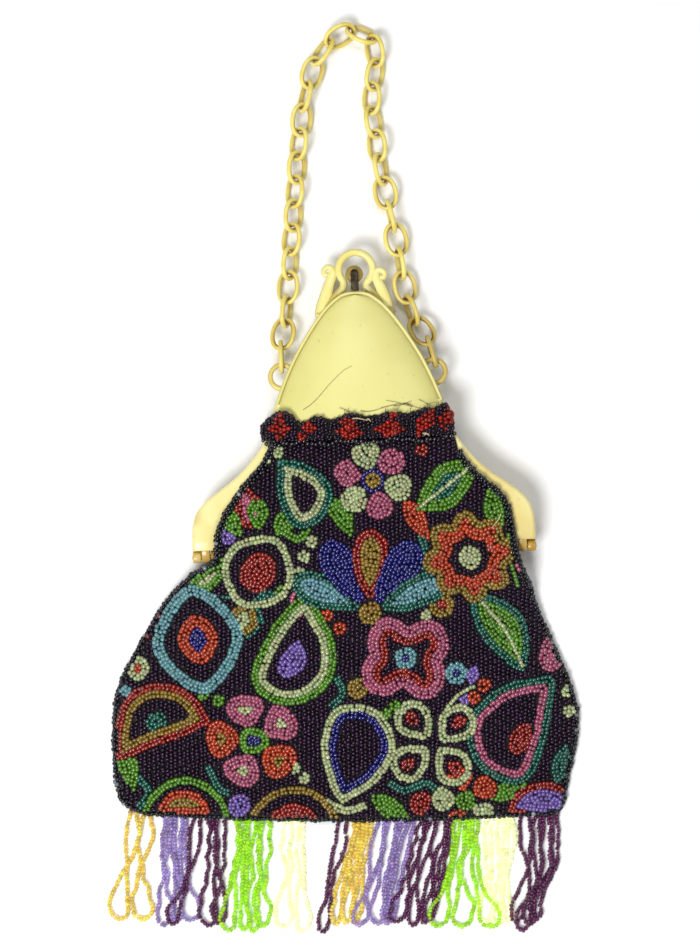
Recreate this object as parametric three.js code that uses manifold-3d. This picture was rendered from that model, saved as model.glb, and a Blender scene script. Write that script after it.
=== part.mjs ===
// Beaded evening bag: a hinged celluloid frame with a crest and a chain handle, a pouch of two
// beaded panels, a gathered band over the frame and a fringe of looped bead strings.
// Millimetres. The bag lies on its back: +X is its right side, +Y runs from the fringe to the handle,
// +Z points up from the floor. The origin is on the flat back of the pouch.
import * as THREE from "three";
import { mergeVertices } from "three/addons/utils/BufferGeometryUtils.js";
import Module from "manifold-3d";

const wasm = await Module();
wasm.setup();

// Named sizes

const FLOOR = 0.1;
const SEAT = 0.3;

const FRAME = {
  tipX: 1.9,
  tipY: 130.9,
  lean: 2.1,
  midZ: 12.3,
  split: 0.15,
  wall: 1.9,
  rim: 2.2,
  plateEnd: 55.2,
  legEnd: 100.5,
};

const HINGE = { below: 103.1, radius: 2.2, bore: 1.05, pin: 0.75, wide: 10.4, knuckle: 3.2 };
const CREST = { ringY: 9.4, ring: 6.5, wire: 1.35, arm: 1.5, depth: 1.75 };
const EAR = { below: 33.5, out: 1.2, radius: 4.7, wire: 1.0, contact: 62, slack: 1.4 };
const KNOB = { y: 6.2, stem: 1.4, radius: 3.5 };
const TONGUE = { wide: 2.8, thick: 0.8, from: 0.3, to: 7.8, z: 3.7 };
const LINK = { count: 30, long: 14.05, wide: 10.2, wire: 1.9 };
const CLOTH = { thick: 2, neckY: 71.6, sag: 3.2, pleats: 7, pleatRise: 0.7, pleatFade: 46 };
const BAND = { bottom: 59.1, sections: 26, plainTop: 49, front: 3.3, back: 2.3 };
const TRIM = { radius: 1.4, sides: 8, seamDrop: 2.1, legDrop: 0.5 };
const FRINGE = { headDrop: 2.6, thick: 1.8, lock: 3.2, tipY: -121.5 };

// Half-width of the closed frame at each distance below its tip.
const FRAME_OUTLINE = [
  { below: 0, half: 2 },
  { below: 0.4, half: 3.3 },
  { below: 1, half: 4.8 },
  { below: 1.7, half: 6.1 },
  { below: 3.4, half: 8.6 },
  { below: 6.3, half: 11.8 },
  { below: 9.8, half: 14.8 },
  { below: 13.5, half: 17.5 },
  { below: 16.9, half: 19.8 },
  { below: 27.2, half: 25.9 },
  { below: 37.4, half: 30.5 },
  { below: 46.1, half: 33.7 },
  { below: 53.2, half: 35.8 },
  { below: 59.1, half: 38.2 },
  { below: 67, half: 44.3 },
  { below: 72.9, half: 50.4 },
  { below: 77.8, half: 57.3 },
  { below: 81.8, half: 62.4 },
  { below: 86.7, half: 66 },
  { below: 92.6, half: 67.4 },
  { below: 100.5, half: 67.6 },
];

// How far the plate's dome stands above its rim.
const PLATE_CROWN = [
  { below: 0, rise: 0.2 },
  { below: 5.9, rise: 1.5 },
  { below: 16.7, rise: 4.0 },
  { below: 29.6, rise: 5.9 },
  { below: 44.3, rise: 6.8 },
  { below: 55.2, rise: 6.8 },
];

// Width across each leg and its thickness on one half of the frame.
const LEG = [
  { below: 45.3, wide: 4.4, thick: 2.3 },
  { below: 53.2, wide: 5.9, thick: 3.4 },
  { below: 59.1, wide: 7.4, thick: 4.2 },
  { below: 67, wide: 10.3, thick: 4.2 },
  { below: 72.9, wide: 12.3, thick: 4.2 },
  { below: 77.8, wide: 13.2, thick: 4.2 },
  { below: 81.8, wide: 12.8, thick: 4.2 },
  { below: 86.7, wide: 11.6, thick: 4.2 },
  { below: 92.6, wide: 10.6, thick: 4.2 },
  { below: 100.5, wide: 10.2, thick: 4.2 },
];

// The pouch seen from the front, one row per level below the band: its two outer edges, the height of the
// front panel at the edges and at the middle, and the height of the back panel's edges.
const POUCH = [
  { drop: 0, left: -31.0, right: 42.9, edge: 18.9, crown: 21.6, back: 5.6 },
  { drop: 6, left: -34.1, right: 45.3, edge: 18.9, crown: 21.2, back: 5.6 },
  { drop: 12, left: -37.8, right: 50.8, edge: 18.9, crown: 20.6, back: 5.6 },
  { drop: 17, left: -43.1, right: 57.4, edge: 18.9, crown: 20.2, back: 5.6 },
  { drop: 22, left: -45.9, right: 62.9, edge: 18.9, crown: 20, back: 5.6 },
  { drop: 30, left: -50.7, right: 64.5, edge: 18.9, crown: 19.7, back: 5.6 },
  { drop: 38, left: -53.1, right: 65.4, edge: 18.9, crown: 19.4, back: 5.6 },
  { drop: 44, left: -53.9, right: 66.4, edge: 18.9, crown: 19.2, back: 5.2 },
  { drop: 50, left: -59.5, right: 68.7, edge: 17.4, crown: 18.8, back: 3.6 },
  { drop: 56, left: -66.7, right: 71.7, edge: 10.6, crown: 18, back: 1.5 },
  { drop: 64, left: -74.1, right: 74.5, edge: 5.8, crown: 17, back: 0.3 },
  { drop: 74, left: -80.3, right: 78.7, edge: 4.3, crown: 15.8, back: 0 },
  { drop: 86, left: -87.2, right: 83.9, edge: 4.3, crown: 14.4, back: 0 },
  { drop: 98, left: -92.9, right: 88.9, edge: 4.3, crown: 13.2, back: 0 },
  { drop: 110, left: -94.9, right: 91.4, edge: 4.3, crown: 11.9, back: 0 },
  { drop: 122, left: -94.9, right: 90.5, edge: 4.3, crown: 10.4, back: 0 },
  { drop: 134, left: -94.3, right: 87.7, edge: 4.3, crown: 8.6, back: 0 },
  { drop: 142, left: -92.3, right: 86.1, edge: 4.3, crown: 7, back: 0 },
  { drop: 146.5, left: -89.1, right: 84.9, edge: 4.3, crown: 5.6, back: 0 },
  { drop: 149, left: -84.9, right: 82.3, edge: 4.3, crown: 4.3, back: 0 },
];

// The way of the chain from the left ear over the top to the right ear.
const CHAIN_WAY = [
  { x: -28.1, y: 105, z: 9.6 },
  { x: -26.7, y: 112.6, z: 7.4 },
  { x: -25.4, y: 122, z: 5 },
  { x: -24.6, y: 134, z: 4 },
  { x: -23.4, y: 150, z: 4 },
  { x: -22, y: 170, z: 4 },
  { x: -20.4, y: 190, z: 4 },
  { x: -18.2, y: 207, z: 4 },
  { x: -16, y: 215.6, z: 4 },
  { x: -12.8, y: 224, z: 4 },
  { x: -7.2, y: 231.4, z: 4 },
  { x: 0.4, y: 235.2, z: 4 },
  { x: 7.6, y: 233, z: 4 },
  { x: 11, y: 226.4, z: 4 },
  { x: 10, y: 218, z: 4 },
  { x: 8.2, y: 208.8, z: 4 },
  { x: 10, y: 194.8, z: 4 },
  { x: 12, y: 180.8, z: 4 },
  { x: 14.8, y: 166.8, z: 4 },
  { x: 18.2, y: 152.8, z: 4 },
  { x: 20.4, y: 140, z: 4 },
  { x: 22.8, y: 128, z: 4.4 },
  { x: 26.6, y: 118, z: 6 },
  { x: 31.4, y: 110.4, z: 8.6 },
];

// Turn of the links about the chain's own line. Every second link stands a quarter turn from this.
const CHAIN_TWIST = [
  { link: 0, turn: 90 },
  { link: 3, turn: 62 },
  { link: 6, turn: 46 },
  { link: 9, turn: 44 },
  { link: 11, turn: 24 },
  { link: 13, turn: 34 },
  { link: 16, turn: 45 },
  { link: 20, turn: 42 },
  { link: 23, turn: -4 },
  { link: 25, turn: -12 },
  { link: 27, turn: -18 },
  { link: 29, turn: 0 },
];

// Gathers of the band across the plate: distance of its top below the frame's tip and its share of thickness.
// Rows stand in turn on a swell and on a gather.
const BAND_GATHERS = [
  { x: -37.6, top: 49.7, out: 0.7 },
  { x: -29.6, top: 46.5, out: 1.25 },
  { x: -22.1, top: 51.2, out: 0.7 },
  { x: -16.2, top: 48.7, out: 1 },
  { x: -10.8, top: 50, out: 0.75 },
  { x: -3.7, top: 48.3, out: 1.15 },
  { x: 4.1, top: 49.6, out: 0.75 },
  { x: 11.8, top: 48.3, out: 1.2 },
  { x: 19.1, top: 48.9, out: 0.75 },
  { x: 25.6, top: 47.1, out: 1.15 },
  { x: 30.1, top: 46.9, out: 0.85 },
  { x: 33.9, top: 45.1, out: 1.1 },
  { x: 36.4, top: 48.8, out: 0.7 },
];

// Fringe groups: where each starts under the pouch, where its loops end, and how many locks it falls into.
const FRINGE_GROUPS = [
  { name: "gold", headFrom: -87.6, headTo: -79.6, tipFrom: -95.2, tipTo: -78.4, locks: 2 },
  { name: "lilac", headFrom: -74.8, headTo: -65.2, tipFrom: -77.4, tipTo: -60.4, locks: 2 },
  { name: "purple", headFrom: -62.4, headTo: -47.2, tipFrom: -59.8, tipTo: -51.6, locks: 2 },
  { name: "lime", headFrom: -46.4, headTo: -32.8, tipFrom: -51, tipTo: -32.4, locks: 3 },
  { name: "lemon", headFrom: -27.2, headTo: -17.2, tipFrom: -30.8, tipTo: -15.6, locks: 2 },
  { name: "purple", headFrom: -4.2, headTo: -0.4, tipFrom: -13.4, tipTo: -8.6, locks: 1 },
  { name: "gold", headFrom: 0.4, headTo: 10.8, tipFrom: -8, tipTo: 1.2, locks: 2 },
  { name: "lilac", headFrom: 11.6, headTo: 26.4, tipFrom: 1.8, tipTo: 16.4, locks: 2 },
  { name: "purple", headFrom: 27.4, headTo: 40.8, tipFrom: 17, tipTo: 31.6, locks: 3 },
  { name: "lime", headFrom: 42, headTo: 52.6, tipFrom: 32.2, tipTo: 52, locks: 3 },
  { name: "lemon", headFrom: 53.4, headTo: 66.8, tipFrom: 52.6, tipTo: 63.6, locks: 2 },
  { name: "purple", headFrom: 69.2, headTo: 82, tipFrom: 64.2, tipTo: 73.6, locks: 2 },
];

const COLOURS = {
  celluloid: { color: 0xf0e7a6, roughness: 0.3, metalness: 0 },
  hinge: { color: 0xb08a3c, roughness: 0.4, metalness: 0.6 },
  button: { color: 0x9a8838, roughness: 0.35, metalness: 0 },
  metal: { color: 0x4b453e, roughness: 0.4, metalness: 0.8 },
  beadwork: { color: 0x3c233c, roughness: 0.35, metalness: 0 },
  edging: { color: 0x15181c, roughness: 0.3, metalness: 0 },
  gold: { color: 0xe6be46, roughness: 0.3, metalness: 0 },
  lilac: { color: 0x967dcd, roughness: 0.3, metalness: 0 },
  purple: { color: 0x552855, roughness: 0.3, metalness: 0 },
  lime: { color: 0x96dc28, roughness: 0.3, metalness: 0 },
  lemon: { color: 0xf0f5b9, roughness: 0.3, metalness: 0 },
};

// Working helpers

const lerp = THREE.MathUtils.lerp;
const clamp = THREE.MathUtils.clamp;
const rad = THREE.MathUtils.degToRad;
const at = (x, y, z) => new THREE.Vector3(x, y, z);

// A smooth value read from one column of a table along another column that only grows.
function reading(table, along, column) {
  const s = table.map((row) => row[along]);
  const v = table.map((row) => row[column]);
  const last = s.length - 1;
  const slope = v.map((_, i) => {
    if (i === 0 || i === last) {
      const j = i === 0 ? 0 : last - 1;
      return (v[j + 1] - v[j]) / (s[j + 1] - s[j]);
    }
    const before = (v[i] - v[i - 1]) / (s[i] - s[i - 1]);
    const after = (v[i + 1] - v[i]) / (s[i + 1] - s[i]);
    return before * after <= 0 ? 0 : (2 * before * after) / (before + after);
  });
  return (x) => {
    let i = 0;
    while (i < last - 1 && x > s[i + 1]) i += 1;
    const h = s[i + 1] - s[i];
    const t = clamp((x - s[i]) / h, 0, 1);
    const a = 2 * t ** 3 - 3 * t ** 2 + 1;
    const b = t ** 3 - 2 * t ** 2 + t;
    const c = t ** 3 - t ** 2;
    return a * v[i] + b * h * slope[i] + (1 - a) * v[i + 1] + c * h * slope[i + 1];
  };
}

// A closed body from points and triangles, with its faces turned outwards.
function body(points, triangles) {
  const edge = at(0, 0, 0);
  const volume = triangles.reduce(
    (sum, [a, b, c]) => sum + points[a].dot(edge.crossVectors(points[b], points[c])),
    0,
  );
  const faces = volume < 0 ? triangles.map(([a, b, c]) => [a, c, b]) : triangles;
  const geometry = new THREE.BufferGeometry().setFromPoints(points);
  geometry.setIndex(faces.flat());
  return geometry;
}

// A skin over a row of equal rings, closed at both ends. The ends are filled as seen in a plane.
function loft(rings, flat) {
  const n = rings[0].length;
  const triangles = [];
  for (let r = 0; r + 1 < rings.length; r += 1) {
    for (let i = 0; i < n; i += 1) {
      const a = r * n + i;
      const b = r * n + ((i + 1) % n);
      triangles.push([a, b, b + n], [a, b + n, a + n]);
    }
  }
  for (const r of [0, rings.length - 1]) {
    const outline = rings[r].map(flat);
    const turn = THREE.ShapeUtils.area(outline) > 0 ? 1 : -1;
    const wanted = r === 0 ? -turn : turn;
    for (const [a, b, c] of THREE.ShapeUtils.triangulateShape(outline, [])) {
      const piece = THREE.ShapeUtils.area([outline[a], outline[b], outline[c]]);
      const face = piece * wanted > 0 ? [a, b, c] : [a, c, b];
      triangles.push(face.map((k) => r * n + k));
    }
  }
  return body(rings.flat(), triangles);
}

// A sheet between an upper and a lower surface, both given over the same grid.
function sheet(upper, lower, columns, rows) {
  const points = [];
  for (const surface of [upper, lower]) {
    for (let r = 0; r <= rows; r += 1) {
      for (let c = 0; c <= columns; c += 1) points.push(surface(c, r));
    }
  }
  const across = columns + 1;
  const under = across * (rows + 1);
  const triangles = [];
  for (let r = 0; r < rows; r += 1) {
    for (let c = 0; c < columns; c += 1) {
      const a = r * across + c;
      const d = a + across;
      triangles.push([a, d, d + 1], [a, d + 1, a + 1]);
      triangles.push([a + under, d + 1 + under, d + under], [a + under, a + 1 + under, d + 1 + under]);
    }
  }
  const rim = [];
  for (let c = 0; c < columns; c += 1) rim.push(c);
  for (let r = 0; r < rows; r += 1) rim.push(r * across + columns);
  for (let c = columns; c > 0; c -= 1) rim.push(rows * across + c);
  for (let r = rows; r > 0; r -= 1) rim.push(r * across);
  rim.forEach((a, i) => {
    const b = rim[(i + 1) % rim.length];
    triangles.push([a, b, b + under], [a, b + under, a + under]);
  });
  return body(points, triangles);
}

function circle(radius, sides) {
  const ring = [];
  for (let i = 0; i < sides; i += 1) {
    const turn = (2 * Math.PI * (i + 0.5)) / sides;
    ring.push(new THREE.Vector2(radius * Math.cos(turn), radius * Math.sin(turn)));
  }
  return ring;
}

// A round rod along a smooth line through points.
function rod(points, radius, sides, steps) {
  return new THREE.ExtrudeGeometry(new THREE.Shape(circle(radius, sides)), {
    steps,
    bevelEnabled: false,
    extrudePath: new THREE.CatmullRomCurve3(points, false, "centripetal"),
  });
}

function manifold(geometry) {
  const bare = geometry.clone();
  bare.deleteAttribute("normal");
  bare.deleteAttribute("uv");
  const merged = mergeVertices(bare, 1e-4);
  return new wasm.Manifold(
    new wasm.Mesh({
      numProp: 3,
      vertProperties: new Float32Array(merged.getAttribute("position").array),
      triVerts: new Uint32Array(merged.getIndex().array),
    }),
  );
}

function geometryOf(solid) {
  const mesh = solid.getMesh();
  const geometry = new THREE.BufferGeometry();
  geometry.setAttribute("position", new THREE.BufferAttribute(new Float32Array(mesh.vertProperties), 3));
  geometry.setIndex(Array.from(mesh.triVerts));
  return geometry;
}

const group = new THREE.Group();

function add(name, geometry, colour) {
  const mesh = new THREE.Mesh(geometry, new THREE.MeshStandardMaterial(COLOURS[colour]));
  mesh.name = name;
  group.add(mesh);
}

// The frame stands in its own place: its tip at (0, 0), its legs towards -Y, its halves on either side of z 0.
const framePlace = new THREE.Matrix4()
  .makeTranslation(FRAME.tipX, FRAME.tipY, FRAME.midZ)
  .multiply(new THREE.Matrix4().makeRotationZ(rad(FRAME.lean)));

function addFramePiece(name, geometry, colour) {
  add(name, geometry.applyMatrix4(framePlace), colour);
}

// Celluloid frame

const half = reading(FRAME_OUTLINE, "below", "half");
const crown = reading(PLATE_CROWN, "below", "rise");
const legWide = reading(LEG, "below", "wide");
const legThick = reading(LEG, "below", "thick");

// Height of the plate's outer face above the split between the halves.
function plateFace(x, below) {
  const share = clamp(Math.abs(x) / half(below), 0, 1);
  return FRAME.rim + crown(below) * (1 - share ** 2.2) ** 0.8;
}

const PLATE_LEVELS = [0, 0.4, 1, 2.5, 6.1, 9.8, 13.8, 18.7, 24.6, 31.5, 38.4, 46.3, 55.2];
const HOLLOW_LEVELS = [3.3, 6.1, 9.8, 13.8, 18.7, 24.6, 31.5, 38.4, 46.3, 56.1];
const PLATE_ACROSS = 10;

function domeSection(below, inset, side) {
  const wide = half(below) - inset;
  const ring = [at(-wide, -below, side * FRAME.split)];
  for (let i = 0; i <= PLATE_ACROSS; i += 1) {
    const x = -wide * Math.cos((Math.PI * i) / PLATE_ACROSS);
    const outer = plateFace((x / wide) * half(below), Math.min(below, FRAME.plateEnd));
    ring.push(at(x, -below, side * (FRAME.split + outer - inset)));
  }
  ring.push(at(wide, -below, side * FRAME.split));
  return ring;
}

const inXZ = (p) => new THREE.Vector2(p.x, p.z);

function platePiece(side) {
  const dome = manifold(loft(PLATE_LEVELS.map((below) => domeSection(below, 0, side)), inXZ));
  const rings = HOLLOW_LEVELS.map((below) => domeSection(below, FRAME.wall, side));
  for (const ring of rings) {
    ring[0].z = -side * 1;
    ring[ring.length - 1].z = -side * 1;
  }
  return dome.subtract(manifold(loft(rings, inXZ)));
}

const LEG_LEVELS = [45.3, 51.2, 57.1, 63, 68, 72.9, 77.8, 81.8, 85.7, 90.6, 100.5];
// Rounded section of a leg: share of its width from the outer edge, share of its thickness.
const LEG_SECTION = [
  { across: 0, up: 0 },
  { across: 0, up: 0.55 },
  { across: 0.12, up: 0.86 },
  { across: 0.36, up: 1 },
  { across: 0.7, up: 0.96 },
  { across: 0.92, up: 0.8 },
  { across: 1, up: 0.5 },
  { across: 1, up: 0 },
];

function legPiece(side, hand) {
  const rings = LEG_LEVELS.map((below) =>
    LEG_SECTION.map(({ across, up }) =>
      at(
        hand * (half(below) - across * legWide(below)),
        -below,
        side * (FRAME.split + up * legThick(below)),
      ),
    ),
  );
  return manifold(loft(rings, inXZ));
}

const hingeX = half(FRAME.legEnd) - HINGE.wide / 2;

// One hinge knuckle with the neck that joins it to its leg.
function knucklePiece(side, middle) {
  const barrel = new THREE.CylinderGeometry(HINGE.radius, HINGE.radius, HINGE.knuckle, 12);
  barrel.rotateZ(Math.PI / 2);
  barrel.translate(middle, -HINGE.below, 0);
  const long = HINGE.below - FRAME.legEnd + 1;
  const neck = new THREE.BoxGeometry(HINGE.knuckle, long, HINGE.radius - FRAME.split);
  neck.translate(middle, -HINGE.below + long / 2, side * (FRAME.split + (HINGE.radius - FRAME.split) / 2));
  return manifold(barrel).add(manifold(neck));
}

function bore(hand) {
  const hole = new THREE.CylinderGeometry(HINGE.bore, HINGE.bore, HINGE.wide + 4, 10);
  hole.rotateZ(Math.PI / 2);
  hole.translate(hand * hingeX, -HINGE.below, 0);
  return manifold(hole);
}

const knuckleStep = (HINGE.wide - HINGE.knuckle) / 2;

function frameHalf(side, knuckles) {
  let piece = platePiece(side);
  for (const hand of [-1, 1]) {
    piece = piece.add(legPiece(side, hand));
    for (const step of knuckles) {
      piece = piece.add(knucklePiece(side, hand * hingeX + step * knuckleStep));
    }
    piece = piece.subtract(bore(hand));
  }
  return piece;
}

addFramePiece("frame_front", geometryOf(frameHalf(1, [0])), "celluloid");

// Crest: an open ring with feet on the frame's tip and two arms with scrolled ends.
function crestRing() {
  const feet = [[12.4, -6.3], [8.6, -2.5], [5, 0.3]];
  const points = feet.map(([x, y]) => at(-x, y, -CREST.depth));
  for (let turn = 236; turn >= -56; turn -= 24.3) {
    const x = CREST.ring * Math.cos(rad(turn));
    points.push(at(x, CREST.ringY + CREST.ring * Math.sin(rad(turn)), -CREST.depth));
  }
  points.push(...feet.reverse().map(([x, y]) => at(x, y, -CREST.depth)));
  return manifold(rod(points, CREST.wire, 6, 32));
}

function crestArm(hand) {
  const way = [
    [13.4, -10.4],
    [12.6, -7.2],
    [11.3, -2.9],
    [9.9, 1],
    [8.8, 4.8],
    [8.5, 8.1],
    [9.3, 9.8],
    [11.1, 10.1],
    [12.5, 8.9],
    [11.8, 7.3],
  ];
  const points = way.map(([x, y]) => at(hand * x, y, -CREST.depth));
  return manifold(rod(points, CREST.arm, 6, 14));
}

// Where the frame's edge runs at an ear: outwards and along it.
function earFrame(hand) {
  const slope = (half(EAR.below + 2) - half(EAR.below - 2)) / 4;
  const out = at(hand, slope, 0).normalize();
  const up = at(-hand * slope, 1, 0).normalize();
  const middle = at(hand * half(EAR.below), -EAR.below, -CREST.depth).addScaledVector(out, EAR.out);
  return { out, up, middle };
}

function earPiece(hand) {
  const { out, up, middle } = earFrame(hand);
  const points = [];
  for (let turn = -126; turn <= 126; turn += 21) {
    const p = middle.clone().addScaledVector(out, EAR.radius * Math.cos(rad(turn)));
    points.push(p.addScaledVector(up, EAR.radius * Math.sin(rad(turn))));
  }
  return manifold(rod(points, EAR.wire, 6, 10));
}

function frameBack() {
  let piece = frameHalf(-1, [-1, 1]).add(crestRing());
  for (const hand of [-1, 1]) piece = piece.add(crestArm(hand)).add(earPiece(hand));
  return piece;
}

addFramePiece("frame_back", geometryOf(frameBack()), "celluloid");

for (const [name, hand] of [["hinge_pin_left", -1], ["hinge_pin_right", 1]]) {
  const pin = new THREE.CylinderGeometry(HINGE.pin, HINGE.pin, HINGE.wide, 10);
  pin.rotateZ(Math.PI / 2);
  pin.translate(hand * hingeX, -HINGE.below, 0);
  addFramePiece(name, pin, "hinge");
}

// Clasp: a button on a stem between the feet of the ring, and the metal tongue over it.
const buttonProfile = [
  [0, -3.1],
  [KNOB.stem, -3.1],
  [KNOB.stem, 0.1],
  [2.5, 0.2],
  [KNOB.radius, 1.3],
  [3.1, 2.3],
  [1.7, 2.9],
  [0, 3],
].map(([r, z]) => new THREE.Vector2(r, z));
const button = new THREE.LatheGeometry(buttonProfile, 12);
button.rotateX(Math.PI / 2);
button.translate(0, KNOB.y, 0);
addFramePiece("clasp_knob", button, "button");

const tongueShape = new THREE.Shape();
tongueShape.moveTo(-TONGUE.wide / 2, TONGUE.from);
tongueShape.lineTo(TONGUE.wide / 2, TONGUE.from);
tongueShape.lineTo(TONGUE.wide / 2, TONGUE.to - TONGUE.wide / 2);
tongueShape.absarc(0, TONGUE.to - TONGUE.wide / 2, TONGUE.wide / 2, 0, Math.PI, false);
const tongue = new THREE.ExtrudeGeometry(tongueShape, {
  depth: TONGUE.thick,
  bevelEnabled: false,
  curveSegments: 8,
});
tongue.translate(0, 0, TONGUE.z - TONGUE.thick / 2);
addFramePiece("clasp_tongue", tongue, "metal");

// Chain

// The end links hang in the ears: the chain starts inside each ear, just behind its wire.
function earJoint(hand, next) {
  const { out, up, middle } = earFrame(hand);
  const wire = middle.addScaledVector(out, EAR.radius * Math.cos(rad(EAR.contact)));
  wire.addScaledVector(up, EAR.radius * Math.sin(rad(EAR.contact))).applyMatrix4(framePlace);
  const away = next.clone().sub(wire).normalize();
  return wire.addScaledVector(away, -EAR.slack);
}

const way = CHAIN_WAY.map(({ x, y, z }) => at(x, y, z));
way.unshift(earJoint(-1, way[0]));
way.push(earJoint(1, way[way.length - 1]));
const chainWay = new THREE.CatmullRomCurve3(way, false, "centripetal");
const chainTwist = reading(CHAIN_TWIST, "link", "turn");
const wayPoints = chainWay.getSpacedPoints(3000);

// Joints at equal straight steps along the way; the step is the one that ends at the right ear.
function walk(step) {
  const joints = [wayPoints[0].clone()];
  for (const p of wayPoints) {
    if (p.distanceTo(joints[joints.length - 1]) >= step) joints.push(p.clone());
  }
  const rest = wayPoints[wayPoints.length - 1].distanceTo(joints[joints.length - 1]);
  return { joints, reach: joints.length - 1 + rest / step };
}

let shortStep = 8;
let longStep = 12;
for (let i = 0; i < 40; i += 1) {
  const step = (shortStep + longStep) / 2;
  if (walk(step).reach > LINK.count) shortStep = step;
  else longStep = step;
}
const joints = walk(longStep).joints.slice(0, LINK.count);
joints.push(wayPoints[wayPoints.length - 1].clone());

const linkTilt = (k) => rad(chainTwist(k) + (k % 2 === 1 ? 90 : 0));
const linkRest = (k) =>
  FLOOR + LINK.wire / 2 + ((LINK.wide - LINK.wire) / 2) * Math.abs(Math.sin(linkTilt(k)));
joints.forEach((joint, k) => {
  const before = k > 0 ? linkRest(k - 1) : 0;
  const after = k < LINK.count ? linkRest(k) : 0;
  joint.z = Math.max(joint.z, before, after);
});

// An oval ring: a torus whose halves are drawn apart.
function linkGeometry() {
  const ring = new THREE.TorusGeometry((LINK.wide - LINK.wire) / 2, LINK.wire / 2, 5, 12);
  ring.rotateZ(Math.PI / 12);
  const place = ring.getAttribute("position");
  const apart = (LINK.long - LINK.wide) / 2;
  for (let i = 0; i < place.count; i += 1) {
    place.setX(i, place.getX(i) + Math.sign(place.getX(i)) * apart);
  }
  return ring;
}

for (let k = 0; k < LINK.count; k += 1) {
  const along = joints[k + 1].clone().sub(joints[k]).normalize();
  const upright = at(0, 0, 1).addScaledVector(along, -along.z).normalize();
  const face = upright.applyAxisAngle(along, linkTilt(k));
  const across = face.clone().cross(along);
  const place = new THREE.Matrix4().makeBasis(along, across, face);
  place.setPosition(joints[k].clone().add(joints[k + 1]).multiplyScalar(0.5));
  add(`chain_link_${String(k + 1).padStart(2, "0")}`, linkGeometry().applyMatrix4(place), "celluloid");
}

// Pouch: two panels, the front one arched with pleats that fade below the band, the back one flat on the floor

const pouch = {};
for (const column of ["left", "right", "edge", "crown", "back"]) {
  pouch[column] = reading(POUCH, "drop", column);
}
const pouchLong = POUCH[POUCH.length - 1].drop;
const sheetEdge = 2 * TRIM.radius + SEAT;

// An edge of the pouch moved inwards, square to the way the edge runs there.
function pouchEdge(column, drop, inset) {
  const slope = (pouch[column](drop + 1.5) - pouch[column](drop - 1.5)) / 3;
  const square = Math.min(Math.hypot(1, slope), 1.9);
  return pouch[column](drop) + (column === "left" ? inset : -inset) * square;
}

// A point of the pouch's face: u runs from -1 at the left edge to 1 at the right.
function pouchPlace(u, drop, inset) {
  const x = lerp(pouchEdge("left", drop, inset), pouchEdge("right", drop, inset), (u + 1) / 2);
  const lean = Math.tan(rad(FRAME.lean)) * x * clamp(1 - drop / 44, 0, 1);
  const low = CLOTH.sag * (1 - u * u) * clamp((drop - 110) / 39, 0, 1);
  return { x, y: CLOTH.neckY - drop + lean - low };
}

function frontHeight(u, drop) {
  const arch = (1 - Math.abs(u) ** 2.6) ** 0.85;
  const fade = clamp(1 - drop / CLOTH.pleatFade, 0, 1) ** 1.5;
  const pleat = CLOTH.pleatRise * fade * Math.cos(Math.PI * CLOTH.pleats * u) * (1 - u ** 4);
  return lerp(pouch.edge(drop), pouch.crown(drop), arch) + pleat;
}

const backHeight = (u, drop) => pouch.back(drop) * clamp((Math.abs(u) - 0.55) / 0.45, 0, 1) ** 1.5;

const FRONT_COLUMNS = 14;
const BACK_COLUMNS = 6;
const sheetDrop = (r) => Math.min(POUCH[r].drop, pouchLong - sheetEdge);

function panelSurface(columns, height, lift) {
  return (c, r) => {
    const u = (2 * c) / columns - 1;
    const drop = sheetDrop(r);
    const { x, y } = pouchPlace(u, drop, sheetEdge);
    return at(x, y, height(u, drop) + lift);
  };
}

const panelRows = POUCH.findLastIndex((row) => row.drop < pouchLong - sheetEdge) + 1;
add(
  "panel_front",
  sheet(
    panelSurface(FRONT_COLUMNS, frontHeight, 0),
    panelSurface(FRONT_COLUMNS, frontHeight, -CLOTH.thick),
    FRONT_COLUMNS,
    panelRows,
  ),
  "beadwork",
);
add(
  "panel_back",
  sheet(
    panelSurface(BACK_COLUMNS, backHeight, CLOTH.thick),
    panelSurface(BACK_COLUMNS, backHeight, 0),
    BACK_COLUMNS,
    panelRows,
  ),
  "beadwork",
);

// Edge trim: down the left side, along the bottom and up the right side, just outside the panels' edge.
const rimAt = panelSurface(FRONT_COLUMNS, frontHeight, 0);
const rim = [];
for (let r = 0; r < panelRows; r += 1) rim.push(rimAt(0, r));
for (let c = 0; c <= FRONT_COLUMNS; c += 1) {
  const p = rimAt(c, panelRows);
  p.z = lerp(p.z, pouch.edge(pouchLong), 0.6);
  rim.push(p);
}
for (let r = panelRows - 1; r >= 0; r -= 1) rim.push(rimAt(FRONT_COLUMNS, r));
const outward = (a, b) => new THREE.Vector2(b.y - a.y, a.x - b.x).normalize();
const trimWay = rim.map((p, i) => {
  const before = outward(rim[Math.max(i - 1, 0)], rim[Math.max(i, 1)]);
  const after = outward(rim[Math.min(i, rim.length - 2)], rim[Math.min(i + 1, rim.length - 1)]);
  const reach = (TRIM.radius + SEAT + 0.05) / (1 + before.dot(after));
  const out = before.add(after).multiplyScalar(reach);
  const low = lerp(TRIM.seamDrop, TRIM.legDrop, clamp((p.z - 4.3) / 10, 0, 1));
  return at(p.x + out.x, p.y + out.y, p.z - low);
});
trimWay[0].lerp(trimWay[1], 0.3);
trimWay[trimWay.length - 1].lerp(trimWay[trimWay.length - 2], 0.12);
const trimRing = circle(TRIM.radius, TRIM.sides);
const trimRings = trimWay.map((p, i) => {
  const before = trimWay[Math.max(i - 1, 0)];
  const after = trimWay[Math.min(i + 1, trimWay.length - 1)];
  const along = after.clone().sub(before).normalize();
  const side = along.clone().cross(at(0, 0, 1)).normalize();
  const up = side.clone().cross(along);
  return trimRing.map(({ x, y }) => p.clone().addScaledVector(side, x).addScaledVector(up, y));
});
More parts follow.
